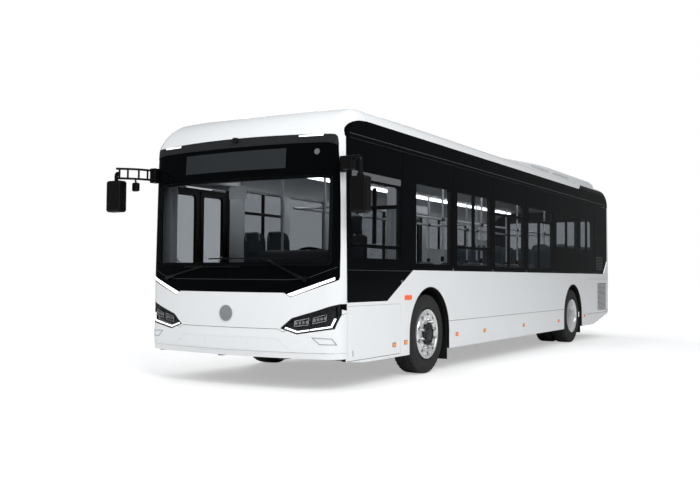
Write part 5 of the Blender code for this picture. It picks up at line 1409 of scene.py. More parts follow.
class BUS_OT_rear(bpy.types.Operator):
    """Rear panels, window, lamps, plate field and the service lid with its louvres"""
    bl_idname = "bus.rear"
    bl_label = "Rear"

    def execute(self, context):
        gap = sizes().seam / 2
        edge = REAR_HALF - 0.0005
        lid = (-0.98, 0.66, 0.98, 1.46)
        upper = [(-edge, 0.64 + gap), (edge, 0.64 + gap), (edge, EAVE_Z - 0.001), (1.0, EAVE_Z + 0.01),
                 (0.0, EAVE_Z + 0.036), (-1.0, EAVE_Z + 0.01), (-edge, EAVE_Z - 0.001)]
        lamp_boxes = [sorted_box(sign * 1.06, 0.78, sign * 1.2, 1.38) for sign in (1, -1)]
        high_boxes = [sorted_box(sign * 0.99, 2.44, sign * 1.13, 2.5) for sign in (1, -1)]
        glass_field = rounded(-1.02, 1.6, 1.02, 2.42, 0.06)
        holes = [rounded(*lid, 0.04), glass_field] + [rounded(*b, 0.03) for b in lamp_boxes]
        holes += [rounded(*b, 0.02) for b in high_boxes]
        panel = rear_sheet([upper, *holes], 0.0, 0.01)
        piece(round_edges(panel), "rear_panel", "white_paint", replaces=("rear_wall",))
        bumper = rear_sheet([[(-edge, 0.455), (edge, 0.455), (edge, 0.64 - gap), (-edge, 0.64 - gap)],
                             rounded(-0.27, 0.485, 0.27, 0.605, 0.01)], 0.0, 0.014)
        piece(round_edges(bumper, 0.004, 2), "rear_bumper", "white_paint")
        recess = rear_sheet([rounded(-0.275, 0.48, 0.275, 0.61, 0.01)], 0.014, 0.006)
        piece(recess, "rear_plate_recess", "white_paint")
        # A near-black core behind the rear's seams and openings: painted shade
        core = rear_sheet([[(-edge, 0.46), (edge, 0.46), (edge, EAVE_Z - 0.004), (-edge, EAVE_Z - 0.004)],
                           rounded(-0.985, 0.655, 0.985, 1.465, 0.04), rounded(-0.9, 1.7, 0.9, 2.34, 0.04)],
                          0.02, 0.02)
        piece(core, "rear_core", "painted_shade_black")
        border = rear_sheet([inset_loop(glass_field, gap), rounded(-0.915, 1.685, 0.915, 2.355, 0.04)], 0.0,
                            0.006)
        piece(round_edges(border, 0.0018, 1), "rear_glass_border", "black_glass")
        window = rear_sheet([rounded(-0.9145, 1.6855, 0.9145, 2.3545, 0.0395)], 0.0008, 0.004)
        piece(window, "rear_window_glass", "clear_glass", replaces=("rear_window",))
        for side, sign, box, high in (("left", 1, lamp_boxes[0], high_boxes[0]),
                                      ("right", -1, lamp_boxes[1], high_boxes[1])):
            housing = rear_sheet([inset_loop(rounded(*box, 0.03), gap)], 0.008, 0.02)
            piece(housing, "tail_lamp_housing_" + side, "lamp_chamber", replaces=("tail_lamp_" + side,),
                  slot="tail_lens")
            cells = []
            for number, (z0, finish_name) in enumerate(((0.795, "red_lens"), (0.990, "amber_lens"),
                                                        (1.185, "red_lens"))):
                lens = rear_sheet([rounded(box[0] + 0.01, z0, box[2] - 0.01, z0 + 0.18, 0.018)], -0.003,
                                  0.011)
                piece(round_edges(lens, 0.004, 2), "tail_lens_%s_%d" % (side, number + 1), finish_name,
                      slot="tail_lens")
                rings = rear_sheet([rounded(box[0] + 0.026, z0 + 0.018, box[2] - 0.026, z0 + 0.162, 0.014),
                                    rounded(box[0] + 0.034, z0 + 0.026, box[2] - 0.034, z0 + 0.154, 0.01)],
                                   -0.005, 0.004)
                cells.append(rings)
            piece(merged(*cells), "tail_lamp_rings_" + side, "red_lens")
            lamp = rear_sheet([inset_loop(rounded(*high, 0.02), gap)], -0.002, 0.012)
            piece(round_edges(lamp, 0.003), "high_tail_lamp_" + side, "red_lens")
            x = (box[0] + box[2]) / 2
            reflector = rear_sheet([rounded(x - 0.05, 0.515, x + 0.05, 0.555, 0.008)], -0.003, 0.006)
            piece(round_edges(reflector, 0.002), "rear_reflector_" + side, "reflector")
        self.build_lid(lid)
        return {"FINISHED"}

    def build_lid(self, lid):
        low_x, low_z, high_x, high_z = lid
        name = "rear_service_lid"
        loop = rounded(low_x + 0.0055, low_z + 0.0055, high_x - 0.0055, high_z - 0.0008, 0.036)
        vents = [rounded(sorted_x[0], 0.76, sorted_x[1], 1.33, 0.02)
                 for sorted_x in ((-0.86, -0.08), (0.08, 0.86))]
        panel = rear_sheet([loop, *vents], 0.0005, 0.01)
        piece(round_edges(panel), name + "_skin", "white_paint", body=name, replaces=(name,))
        for number, vent in enumerate(vents):
            xs = [u for u, _ in vent]
            slats = [rear_sheet([[(min(xs) - 0.004, z), (max(xs) + 0.004, z), (max(xs) + 0.004, z + 0.022),
                                  (min(xs) - 0.004, z + 0.022)]], 0.004, 0.01)
                     for z in steps_between(0.765, 1.3, 16)]
            group = merged(*slats)
            piece(round_edges(group, 0.003, 2), "%s_slats_%d" % (name, number + 1), "white_paint", body=name)
        # A near-black sheet behind the louvres: painted shade inside the vents
        backing = rear_sheet([inset_loop(loop, 0.03)], 0.019, 0.006)
        piece(backing, name + "_backing", "painted_shade_black", body=name)
        handle = rear_sheet([rounded(-0.09, 0.69, 0.09, 0.722, 0.014)], -0.006, 0.01)
        piece(round_edges(handle, 0.004, 2), name + "_handle", "moulded_seal", body=name)


# Wheels

TYRE_STEPS, RIM_STEPS, INNER_RIM_STEPS, HUB_STEPS = 240, 120, 72, 60
SHOULDER_CUT, RIB_CUT = 0.006, 0.004
BOLT_RADIUS, NUT_CIRCLE, HAND_HOLE_RADIUS = 0.0085, 0.1675, 0.026


def wheel_centre(tyre_name):
    low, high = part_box(tyre_name)
    return (low.x + high.x) / 2, (low.y + high.y) / 2 - AXLE_Y, (low.z + high.z) / 2


def lathe(profile, steps, centre, sign, dent=None):
    """A closed profile of (outward, radius) points turned round a wheel's axis."""
    clear()
    rows = len(profile)
    bpy.ops.mesh.primitive_grid_add(x_subdivisions=steps, y_subdivisions=rows, size=2)
    obj = bpy.context.object
    closed = [*profile, profile[0]]
    for vertex in obj.data.vertices:
        column, row = round((vertex.co.x + 1) / 2 * steps), round((vertex.co.y + 1) / 2 * rows)
        reach, radius = closed[row]
        radius -= dent(row % rows, column % steps) if dent else 0
        turn = 2 * pi * column / steps
        vertex.co = (centre[0] + sign * reach, centre[1] + AXLE_Y + radius * sin(turn),
                     centre[2] + radius * cos(turn))
    return outward(obj, 0.00001)


def wheel_ring(make, count, radius, centre):
    """Copies of a small piece round a wheel's axis; make is given each place and angle."""
    parts = []
    for number in range(count):
        turn = 2 * pi * number / count
        at = (centre[0], centre[1] + radius * sin(turn), centre[2] + radius * cos(turn))
        parts.append(make(at, turn))
    return merged(*parts)


SIDEWALL = [(0.1, 0.2865), (0.113, 0.299), (0.1275, 0.318), (0.133, 0.33), (0.1345, 0.332), (0.1345, 0.336),
            (0.134, 0.338), (0.137, 0.356), (0.1376, 0.37), (0.1376, 0.386), (0.1362, 0.4),
            (0.1378, 0.4015), (0.1378, 0.4065), (0.1352, 0.4085), (0.131, 0.425), (0.1322, 0.427),
            (0.1312, 0.432), (0.1285, 0.434), (0.1235, 0.452), (0.119, 0.464)]
TREAD = [(0.115, 0.471), (0.108, 0.475), (0.088, 0.4768), (0.074, 0.4776), (0.0725, 0.464), (0.064, 0.464),
         (0.0625, 0.478), (0.045, 0.4786), (0.028, 0.4788), (0.0265, 0.465), (0.018, 0.465),
         (0.0165, 0.4789), (0.0, 0.4789)]


def tyre(name, body, replaced):
    """A tyre with sidewall rings, four tread grooves, and cut shoulder and rib edges."""
    half = SIDEWALL + TREAD
    profile = half + [(-o, r) for o, r in half[-2::-1]] + [(-0.08, 0.3), (0.08, 0.3)]
    shoulder = {len(SIDEWALL) + i for i in (-1, 0, 1, 2)}
    ribs = {len(SIDEWALL) + i for i in (7, 8, 9)}
    count = 2 * len(half) - 2
    shoulder |= {count - i for i in shoulder}
    ribs |= {count - i for i in ribs}

    def dent(row, column):
        if row in shoulder:
            return SHOULDER_CUT if column % 6 < 2 else 0
        return RIB_CUT if row in ribs and column % 8 == 3 else 0
    obj = lathe(profile, TYRE_STEPS, wheel_centre(replaced), 1, dent)
    return piece(obj, name, "tyre_rubber", body=body, replaces=(replaced,), angle=28)


FRONT_RIM = [(0.119, 0.284), (0.127, 0.2885), (0.13, 0.2965), (0.1335, 0.2975), (0.1345, 0.292),
             (0.132, 0.282),
             (0.118, 0.274), (0.112, 0.27), (0.111, 0.266), (0.118, 0.262), (0.13, 0.256),
             (0.137, 0.248), (0.1395, 0.238), (0.1385, 0.224), (0.135, 0.21), (0.132, 0.198),
             (0.132, 0.139), (0.106, 0.139), (0.106, 0.198), (0.112, 0.224), (0.11, 0.244),
             (0.096, 0.256), (0.02, 0.268), (-0.1, 0.274), (-0.118, 0.279), (-0.133, 0.294),
             (-0.129, 0.298), (-0.12, 0.289), (-0.1, 0.2855), (-0.03, 0.274), (0.03, 0.274),
             (0.09, 0.2845)]
REAR_RIM = [(0.119, 0.284), (0.127, 0.2885), (0.13, 0.2965), (0.1335, 0.2975), (0.1345, 0.292),
            (0.132, 0.282),
            (0.122, 0.273), (0.108, 0.264), (0.04, 0.256), (-0.05, 0.252), (-0.082, 0.245),
            (-0.102, 0.23), (-0.112, 0.208), (-0.118, 0.196), (-0.122, 0.19), (-0.122, 0.14),
            (-0.154, 0.14), (-0.154, 0.2), (-0.14, 0.23), (-0.136, 0.27), (-0.133, 0.294),
            (-0.129, 0.298), (-0.12, 0.289), (-0.1, 0.2855), (-0.03, 0.274), (0.03, 0.274),
            (0.09, 0.2845)]
FRONT_HUB = [(0.05, 0.1385), (0.147, 0.138), (0.152, 0.134), (0.152, 0.105), (0.148, 0.101), (0.148, 0.082),
             (0.152, 0.078), (0.158, 0.074), (0.161, 0.06), (0.1615, 0.0), (0.05, 0.0)]
REAR_HUB = [(-0.15, 0.139), (-0.07, 0.133), (-0.066, 0.129), (-0.064, 0.105), (-0.056, 0.098),
            (-0.012, 0.09), (-0.008, 0.085), (-0.004, 0.065), (0.0, 0.06), (0.0, 0.0), (-0.15, 0.0)]


def hand_holes(rim, centre, sign, near, far, radius):
    """Cut the oval hand holes through a rim's disc."""
    def cutter(at, turn):
        obj = cylinder(at, HAND_HOLE_RADIUS, 0.02, "X", 20)
        obj.data.transform(Matrix.Translation((-at[0], -at[1] - AXLE_Y, -at[2])))
        obj.data.transform(Matrix.Diagonal((1, 1.18, 0.86, 1)))
        obj.data.transform(Matrix.Rotation(-turn, 4, "X"))
        obj.data.transform(Matrix.Translation((at[0], at[1] + AXLE_Y, at[2])))
        low, high = sorted((centre[0] + sign * near, centre[0] + sign * far))
        for vertex in obj.data.vertices:
            vertex.co.x = high if vertex.co.x > at[0] else low
        return obj
    return boolean(rim, wheel_ring(cutter, sizes().wheel_nuts, radius, centre))


class BUS_OT_wheels(bpy.types.Operator):
    """Tyres, rims with hand holes, hubs, studs and nuts"""
    bl_idname = "bus.wheels"
    bl_label = "Wheels"

    def execute(self, context):
        for side, sign in SIDES:
            body = "front_wheel_" + side
            tyre("front_%s_tyre" % side, body, "front_tyre_" + side)
            centre = wheel_centre("front_tyre_" + side)
            rim = lathe(FRONT_RIM, RIM_STEPS, centre, sign)
            hand_holes(rim, centre, sign, 0.09, 0.15, 0.236)
            piece(round_edges(rim, 0.0025, 2, 50), "front_%s_rim" % side, "rim_alloy", body=body,
                  replaces=("front_rim_" + side,), angle=40)
            hub = lathe(FRONT_HUB, HUB_STEPS, centre, sign)
            bolts = self.bolts(centre, sign * 0.155, BOLT_RADIUS, 0.012, sizes().wheel_nuts, 0.119)
            cap = self.bolts(centre, sign * 0.152, 0.006, 0.01, 6, 0.091)
            piece(merged(hub, bolts, cap), "front_%s_hub" % side, "hub_black", body=body)
            self.nuts("front_%s_nuts" % side, body, centre, sign, 0.132)
            body = "rear_wheel_" + side
            tyre("rear_%s_outer_tyre" % side, body, "rear_outer_tyre_" + side)
            tyre("rear_%s_inner_tyre" % side, body, "rear_inner_tyre_" + side)
            centre = wheel_centre("rear_outer_tyre_" + side)
            rim = lathe(REAR_RIM, RIM_STEPS, centre, sign)
            hand_holes(rim, centre, sign, -0.17, -0.06, 0.215)
            round_edges(rim, 0.0025, 2, 50)
            twin = lathe(REAR_RIM, INNER_RIM_STEPS, wheel_centre("rear_inner_tyre_" + side), -sign)
            piece(rim, "rear_%s_rim" % side, "rim_alloy", body=body, replaces=("rear_rims_" + side,),
                  angle=40)
            piece(twin, "rear_%s_inner_rim" % side, "satin_silver", body=body, slot="rim_alloy", angle=40)
            hub = lathe(REAR_HUB, HUB_STEPS, centre, sign)
            bolts = self.bolts(centre, -sign * 0.061, BOLT_RADIUS, 0.012, sizes().wheel_nuts, 0.117)
            piece(merged(hub, bolts), "rear_%s_hub" % side, "hub_black", body=body)
            self.nuts("rear_%s_nuts" % side, body, centre, sign, -0.122)
        return {"FINISHED"}

    def bolts(self, centre, out, radius, depth, count, circle):
        """A ring of six-sided heads that far out from a wheel's middle."""
        return wheel_ring(lambda at, _: cylinder((at[0] + out, at[1], at[2]), radius, depth, "X", 6),
                          count, circle, centre)

    def nuts(self, name, body, centre, sign, face):
        def nut(at, turn):
            x = at[0] + sign * face
            washer = cylinder((x + sign * 0.003, at[1], at[2]), 0.0215, 0.006, "X", 20)
            head = cylinder((x + sign * 0.017, at[1], at[2]), 0.018, 0.024, "X", 6)
            stud = cylinder((x + sign * 0.031, at[1], at[2]), 0.0105, 0.014, "X", 12)
            return merged(washer, head, stud)
        group = wheel_ring(nut, sizes().wheel_nuts, NUT_CIRCLE, centre)
        round_edges(group, 0.0012)
        return piece(group, name, "satin_silver", body=body, slot="rim_alloy")


# Mirrors and wipers

class BUS_OT_mirrors(bpy.types.Operator):
    """Mirror brackets, arms, heads and their glasses"""
    bl_idname = "bus.mirrors"
    bl_label = "Mirrors"

    def execute(self, context):
        foot = block((1.246, -2.082, 2.225), (1.316, -2.02, 2.39), 0.01, 3)
        clamp = block((1.308, -2.15, 2.238), (1.436, -2.062, 2.38), 0.014, 3)
        ribs = [block((1.322 + 0.03 * i, -2.154, 2.262), (1.334 + 0.03 * i, -2.144, 2.356), 0.004)
                for i in range(3)]
        arm = pipe(rounded_path([(1.41, -2.11, 2.362), (1.522, -2.128, 2.362), (1.522, -2.128, 2.12)], 0.045,
                                6),
                   0.024, 4)
        collar = cylinder((1.522, -2.128, 2.18), 0.034, 0.03, "Z", 24)
        head = block((1.436, -2.188, 1.802), (1.616, -2.062, 2.168), 0.026, 4)
        rim = block((1.443, -2.07, 1.812), (1.609, -2.0595, 2.158), 0.004, 2)
        group = merged(foot, clamp, *ribs, arm, collar, head, rim)
        piece(group, "left_mirror", "moulded_seal", replaces=("mirror_left",))
        main = block((1.45, -2.062, 1.93), (1.602, -2.0575, 2.15), 0.0015)
        wide = block((1.45, -2.062, 1.822), (1.602, -2.0575, 1.916), 0.0015)
        piece(merged(main, wide), "left_mirror_glass", "mirror_glass")

        foot = block((-1.3, -2.15, 2.235), (-1.215, -2.052, 2.405), 0.01, 3)
        path = [(-1.25, -2.11), (-1.33, -2.33), (-1.5, -2.478)]
        bars = [pipe(rounded_path([(x, s, z) for x, s in path], 0.1, 6), 0.013, 3) for z in (2.378, 2.268)]
        links = [pipe([(x, s, 2.268), (x, s, 2.378)], 0.011, 2)
                 for x, s in ((-1.282, -2.2), (-1.32, -2.3), (-1.4, -2.392), (-1.47, -2.452))]
        drop = pipe(rounded_path([(-1.47, -2.452, 2.323), (-1.508, -2.462, 2.323), (-1.508, -2.462, 2.2)],
                                 0.03, 5),
                    0.022, 4)
        head = block((-1.616, -2.522, 1.88), (-1.402, -2.392, 2.24), 0.03, 4)
        second = block((-1.362, -2.372, 2.12), (-1.278, -2.318, 2.222), 0.018, 3)
        hook = pipe([(-1.32, -2.345, 2.215), (-1.335, -2.335, 2.268)], 0.01, 2)
        group = merged(foot, *bars, *links, drop, head, second, hook)
        piece(group, "right_mirror", "moulded_seal", replaces=("mirror_right",))
        main = block((-1.6, -2.3935, 1.99), (-1.418, -2.3905, 2.222), 0.0012)
        wide = block((-1.6, -2.3935, 1.898), (-1.418, -2.3905, 1.976), 0.0012)
        small = block((-1.354, -2.319, 2.13), (-1.286, -2.3165, 2.212), 0.001)
        piece(merged(main, wide, small), "right_mirror_glass", "mirror_glass")
        return {"FINISHED"}


# Each wiper: side, pivot (x, z), tip of its arm (x, z), and its blade's two ends in x
WIPERS = (("left", 0.93, 1.14, 0.48, 1.35, -0.25, 0.68), ("right", -0.93, 1.14, -0.35, 1.265, -0.62, 0.18))


class BUS_OT_wipers(bpy.types.Operator):
    """Wiper hubs, arms and blades"""
    bl_idname = "bus.wipers"
    bl_label = "Wipers"

    def execute(self, context):
        def proud(x, z, depth):
            return front_at(round_of(abs(x)) * (1 if x >= 0 else -1), z, -depth)
        for side, pivot_x, pivot_z, tip_x, tip_z, blade_from, blade_to in WIPERS:
            hub = pipe([proud(pivot_x, pivot_z, -0.015), proud(pivot_x, pivot_z, 0.02)], 0.03, 4)
            cap = pipe([proud(pivot_x, pivot_z, 0.018), proud(pivot_x, pivot_z, 0.032)], 0.019, 4)
            middle_x, middle_z = (pivot_x + tip_x) / 2, (pivot_z + tip_z) / 2
            knee = (pivot_x * 0.72 + tip_x * 0.28, pivot_z * 0.72 + tip_z * 0.28)
            root = pipe([proud(pivot_x, pivot_z, 0.024), proud(*knee, 0.03)], 0.0165, 3, taper=0.8)
            rod = pipe([proud(*knee, 0.03), proud(middle_x, middle_z, 0.03), proud(tip_x, tip_z, 0.026)],
                       0.009, 3)
            xs = steps_between(blade_from, blade_to, 16)
            spine = pipe([proud(x, tip_z, 0.016) for x in xs], 0.0075, 3)
            rubber = pipe([proud(x, tip_z, 0.006) for x in xs], 0.0045, 2)
            clip = pipe([proud(tip_x - 0.035, tip_z, 0.022), proud(tip_x + 0.035, tip_z, 0.022)], 0.0125, 3)
            group = merged(hub, cap, root, rod, spine, rubber, clip)
            piece(group, side + "_wiper", "moulded_seal", replaces=("wiper_" + side,))
        return {"FINISHED"}


# Doors

DOOR_STILE = 0.068
DOOR_LEAVES = ["%s_door_%s_leaf" % (door, leaf) for door in ("front", "middle") for leaf in ("front", "rear")]


class BUS_OT_doors(bpy.types.Operator):
    """Door leaves: black frames, panes, rubber edges, grab rails and lock plates"""
    bl_idname = "bus.doors"
    bl_label = "Doors"

    def execute(self, context):
        for name in DOOR_LEAVES:
            low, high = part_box(name)
            s0, s1, z0, z1 = low.y - AXLE_Y, high.y - AXLE_Y, low.z, high.z
            hole = rounded(s0 + DOOR_STILE, z0 + 0.12, s1 - DOOR_STILE, z1 - 0.08, 0.045)
            frame = plate([rounded(s0 + 0.01, z0, s1 - 0.01, z1, 0.016), hole], "side", low.x + 0.0045,
                          high.x)
            round_edges(frame, 0.003, 2)
            border = plate([rounded(s0 + 0.01, z0 + 0.004, s1 - 0.01, z1 - 0.004, 0.018),
                            rounded(s0 + 0.08, z0 + 0.132, s1 - 0.08, z1 - 0.092, 0.04)], "side",
                           low.x + 0.0005, low.x + 0.0046)
            round_edges(border, 0.001, 1)
            pane = plate([rounded(s0 + 0.0795, z0 + 0.1315, s1 - 0.0795, z1 - 0.0915, 0.04)], "side",
                         low.x + 0.0008, low.x + 0.0044)
            seals = [pipe([(high.x - 0.0165, s, z0 + 0.004), (high.x - 0.0165, s, z1 - 0.004)], 0.01, 3)
                     for s in (s0 + 0.0102, s1 - 0.0102)]
            brush = block((low.x + 0.01, s0 + 0.02, z0 + 0.0005), (high.x - 0.01, s1 - 0.02, z0 + 0.014),
                          0.002)
            closing = s1 if "front_leaf" in name else s0
            inward = -1 if closing == s1 else 1
            bar_s = closing + inward * 0.1
            hinge_s = s0 + s1 - closing - inward * 0.045
            bar = pipe([(high.x - 0.013, bar_s - inward * 0.055, 1.06), (high.x - 0.013, hinge_s, 1.42)],
                       0.0085, 4)
            ends = [block((high.x - 0.022, s - 0.014, z - 0.02), (high.x - 0.003, s + 0.014, z + 0.02), 0.004)
                    for s, z in ((bar_s - inward * 0.055, 1.06), (hinge_s, 1.42))]
            lock = block((high.x - 0.003, closing + inward * 0.022, 0.94),
                         (high.x - 0.0004, closing + inward * 0.056, 1.01), 0.001)
            piece(frame, name + "_frame", "moulded_seal", body=name, replaces=(name,))
            piece(border, name + "_border", "black_glass", body=name)
            piece(pane, name + "_pane", "door_glass", body=name, slot="clear_glass")
            piece(merged(*seals, brush), name + "_seals", "rubber_seal", body=name)
            piece(merged(bar, *ends, lock), name + "_grab_rail", "rail_steel", body=name)
        for label, (s0, s1) in zip(("front", "middle"), DOORS):
            sill = block((-1.213, s0 + 0.012, 0.3802), (-1.13, s1 - 0.012, 0.3835), 0.0012)
            ribs = [block((-1.205 + 0.016 * i, s0 + 0.02, 0.383), (-1.199 + 0.016 * i, s1 - 0.02, 0.385))
                    for i in range(5)]
            piece(merged(sill, *ribs), label + "_door_sill", "satin_silver")
            cover = block((-1.213, s0 - 0.03, 2.29), (-1.06, s1 + 0.03, 2.52), 0.03, 3)
            piece(cover, label + "_door_gear_cover", "ceiling")
        return {"FINISHED"}


# Saloon

# Heights just over the floors, where loose pieces stand
ON_FLOOR_Z, ON_STEP_Z, ON_CAB_Z, ON_DECK_Z = 0.3804, 0.5904, 0.6004, 0.8004
LIGHT_COUNT, LIGHT_FIRST_S, LIGHT_PITCH = 7, -1.3, 1.34
POLE_RADIUS, POLE_X, POLE_TOP_Z, DRIVER_X = 0.0158, 0.395, 2.545, 0.62


def inset_plan(inset, rear):
    """The front's plan moved inwards, closed by a straight line at a station, as (x, s)."""
    half = [(x + in_x * inset, -(reach + in_r * inset)) for _, x, reach, in_x, in_r in FRONT_PLAN]
    half = [p for p in half if p[1] < rear]
    return half + [(half[-1][0], rear), (-half[-1][0], rear)] + [(-x, s) for x, s in half[:0:-1]]


def crowned(low, high, crown=0.35, pull=0.05, around="Z"):
    """A padded form: full in its middle, thin at its edges, its sides drawn in between the corners."""
    clear()
    bpy.ops.mesh.primitive_cube_add(size=2)
    obj = bpy.context.object
    bpy.ops.object.mode_set(mode="EDIT")
    bpy.ops.mesh.subdivide(number_cuts=7)
    bpy.ops.object.mode_set(mode="OBJECT")
    low, high = Vector(low), Vector(high)
    middle, half = (low + high) / 2, (high - low) / 2
    thick = "XYZ".index(around)
    u_axis, v_axis = [i for i in range(3) if i != thick]
    for vertex in obj.data.vertices:
        at = vertex.co.copy()
        u, v, w = at[u_axis], at[v_axis], at[thick]
        fall = (1 - u ** 4) * (1 - v ** 4)
        at[thick] = w * (1 - crown + crown * fall ** 0.45)
        edge = 1 - 0.1 * w * w
        at[u_axis] = u * edge * (1 - pull * (1 - v * v) * abs(u))
        at[v_axis] = v * edge * (1 - pull * (1 - u * u) * abs(v))
        vertex.co = Vector([middle[i] + half[i] * at[i] for i in range(3)]) + Vector((0, AXLE_Y, 0))
    apply(obj, "SUBSURF", levels=1, render_levels=1)
    return outward(obj)


SEAT_LINE = ((-0.215, -0.045), (-0.222, -0.022), (-0.205, -0.006), (-0.15, -0.002), (0.0, -0.014),
             (0.11, -0.018),
             (0.16, -0.006), (0.188, 0.03), (0.2, 0.09), (0.205, 0.26), (0.214, 0.43), (0.226, 0.53),
             (0.232, 0.548))


SEAT_HEIGHT = 0.44


def seat_shell(x0, x1, s, top):
    """A moulded shell: pan and back in one sheet, with raised edges and a rounded head."""
    last = len(SEAT_LINE) - 1

    def at(across, along):
        place = along * last
        i = min(int(place), last - 1)
        t = place - i
        back = SEAT_LINE[i][0] + (SEAT_LINE[i + 1][0] - SEAT_LINE[i][0]) * t
        rise = SEAT_LINE[i][1] + (SEAT_LINE[i + 1][1] - SEAT_LINE[i][1]) * t
        wing = abs(across) ** 6
        upright = min(1, max(0, (rise - 0.02) / 0.1))
        head = max(0, (rise - 0.4) / 0.148)
        narrow = 1 - 0.16 * head ** 2
        return ((x0 + x1) / 2 + (x1 - x0) / 2 * across * narrow, s + back - 0.034 * wing * upright,
                top + rise + 0.024 * wing * (1 - upright) - 0.03 * abs(across) ** 4 * head)
    obj = grid_sheet(10, last * 2, at, 0.01)
    return outward(obj)


def seat_row(name, x0, x1, s, floor_z, count=2, foot=None, backwards=False):
    """A row of joined seats: shells, padded inlays, grab loops and a cantilever frame."""
    top = floor_z + SEAT_HEIGHT
    width = (x1 - x0) / count
    shells, pads, loops = [], [], []
    for number in range(count):
        low, high = x0 + width * number + 0.008, x0 + width * (number + 1) - 0.008
        shells.append(seat_shell(low, high, s, top))
        pads.append(crowned((low + 0.04, s - 0.185, top - 0.022), (high - 0.04, s + 0.135, top + 0.02)))
        pads.append(crowned((low + 0.045, s + 0.165, top + 0.08), (high - 0.045, s + 0.207, top + 0.45),
                            around="Y"))
        middle = (low + high) / 2
        loops.append(pipe(rounded_path([(middle - 0.11, s + 0.218, top + 0.44),
                                        (middle - 0.11, s + 0.236, top + 0.545),
                                        (middle + 0.11, s + 0.236, top + 0.545),
                                        (middle + 0.11, s + 0.218, top + 0.44)],
                                       0.035, 5), 0.01, 3))
    foot = floor_z if foot is None else foot
    middle = (x0 + x1) / 2
    frame = [pipe([(x0 + 0.03, s + z, top - 0.045), (x1 - 0.02, s + z, top - 0.045)], 0.014, 3)
             for z in (-0.11, 0.13)]
    frame.append(block((middle - 0.028, s - 0.13, top - 0.062), (middle + 0.028, s + 0.15, top - 0.04),
                       0.004))
    frame.append(block((middle - 0.022, s - 0.045, foot + 0.008), (middle + 0.022, s + 0.045, top - 0.055),
                       0.006))
    frame.append(block((middle - 0.06, s - 0.1, foot + 0.0004), (middle + 0.06, s + 0.1, foot + 0.01), 0.003))
    groups = [merged(*parts) for parts in (shells, pads, loops, frame)]
    if backwards:
        place = Matrix.Translation((middle, s + AXLE_Y, 0))
        for group in groups:
            group.data.transform(place @ Matrix.Rotation(pi, 4, "Z") @ place.inverted())
    piece(groups[0], name + "_shells", "seat_shell")
    piece(groups[1], name + "_pads", "seat_fabric", angle=60)
    piece(groups[2], name + "_grab_loops", "grab_grey")
    piece(groups[3], name + "_frame", "frame_steel")


class BUS_OT_seats(bpy.types.Operator):
    """Passenger seats and the rear bench"""
    bl_idname = "bus.seats"
    bl_label = "Seats"

    def execute(self, context):
        low, deck = (0.98, 1.74, 2.5, 3.26, 4.02), (5.9, 6.74, 7.42)
        for side, x0, x1, rows in (("left", 0.430, 1.180, low), ("right", -1.180, -0.430, low[:3])):
            for number, s in enumerate(rows):
                seat_row("%s_low_seats_%d" % (side, number + 1), x0, x1, s, FLOOR_Z)
        for side, x0, x1 in (("left", 0.430, 1.180), ("right", -1.180, -0.430)):
            for number, s in enumerate(deck):
                over = abs(s - REAR_ARCH_S) < 0.32
                seat_row("%s_deck_seats_%d" % (side, number + 1), x0, x1, s, DECK_Z, foot=1.09
                         if over else None)
        seat_row("right_wheelhouse_seats", -1.18, -0.43, -0.365, 0.74, foot=1.0904, backwards=True)
        seat_row("rear_bench", -1.18, 1.18, 7.99, DECK_Z, count=5)
        rails = [block((side * 1.176, s0, 1.15), (side * 1.2105, s1, 1.182), 0.006)
                 for side, s0, s1 in ((1, 0.7, 8.2), (-1, 0.7, 2.8), (-1, 5.4, 7.6))]
        piece(merged(*rails), "seat_wall_rails", "frame_steel",
              replaces=("seats_left", "seats_right_front", "seats_right_rear"), slot="seat_shell")
        return {"FINISHED"}


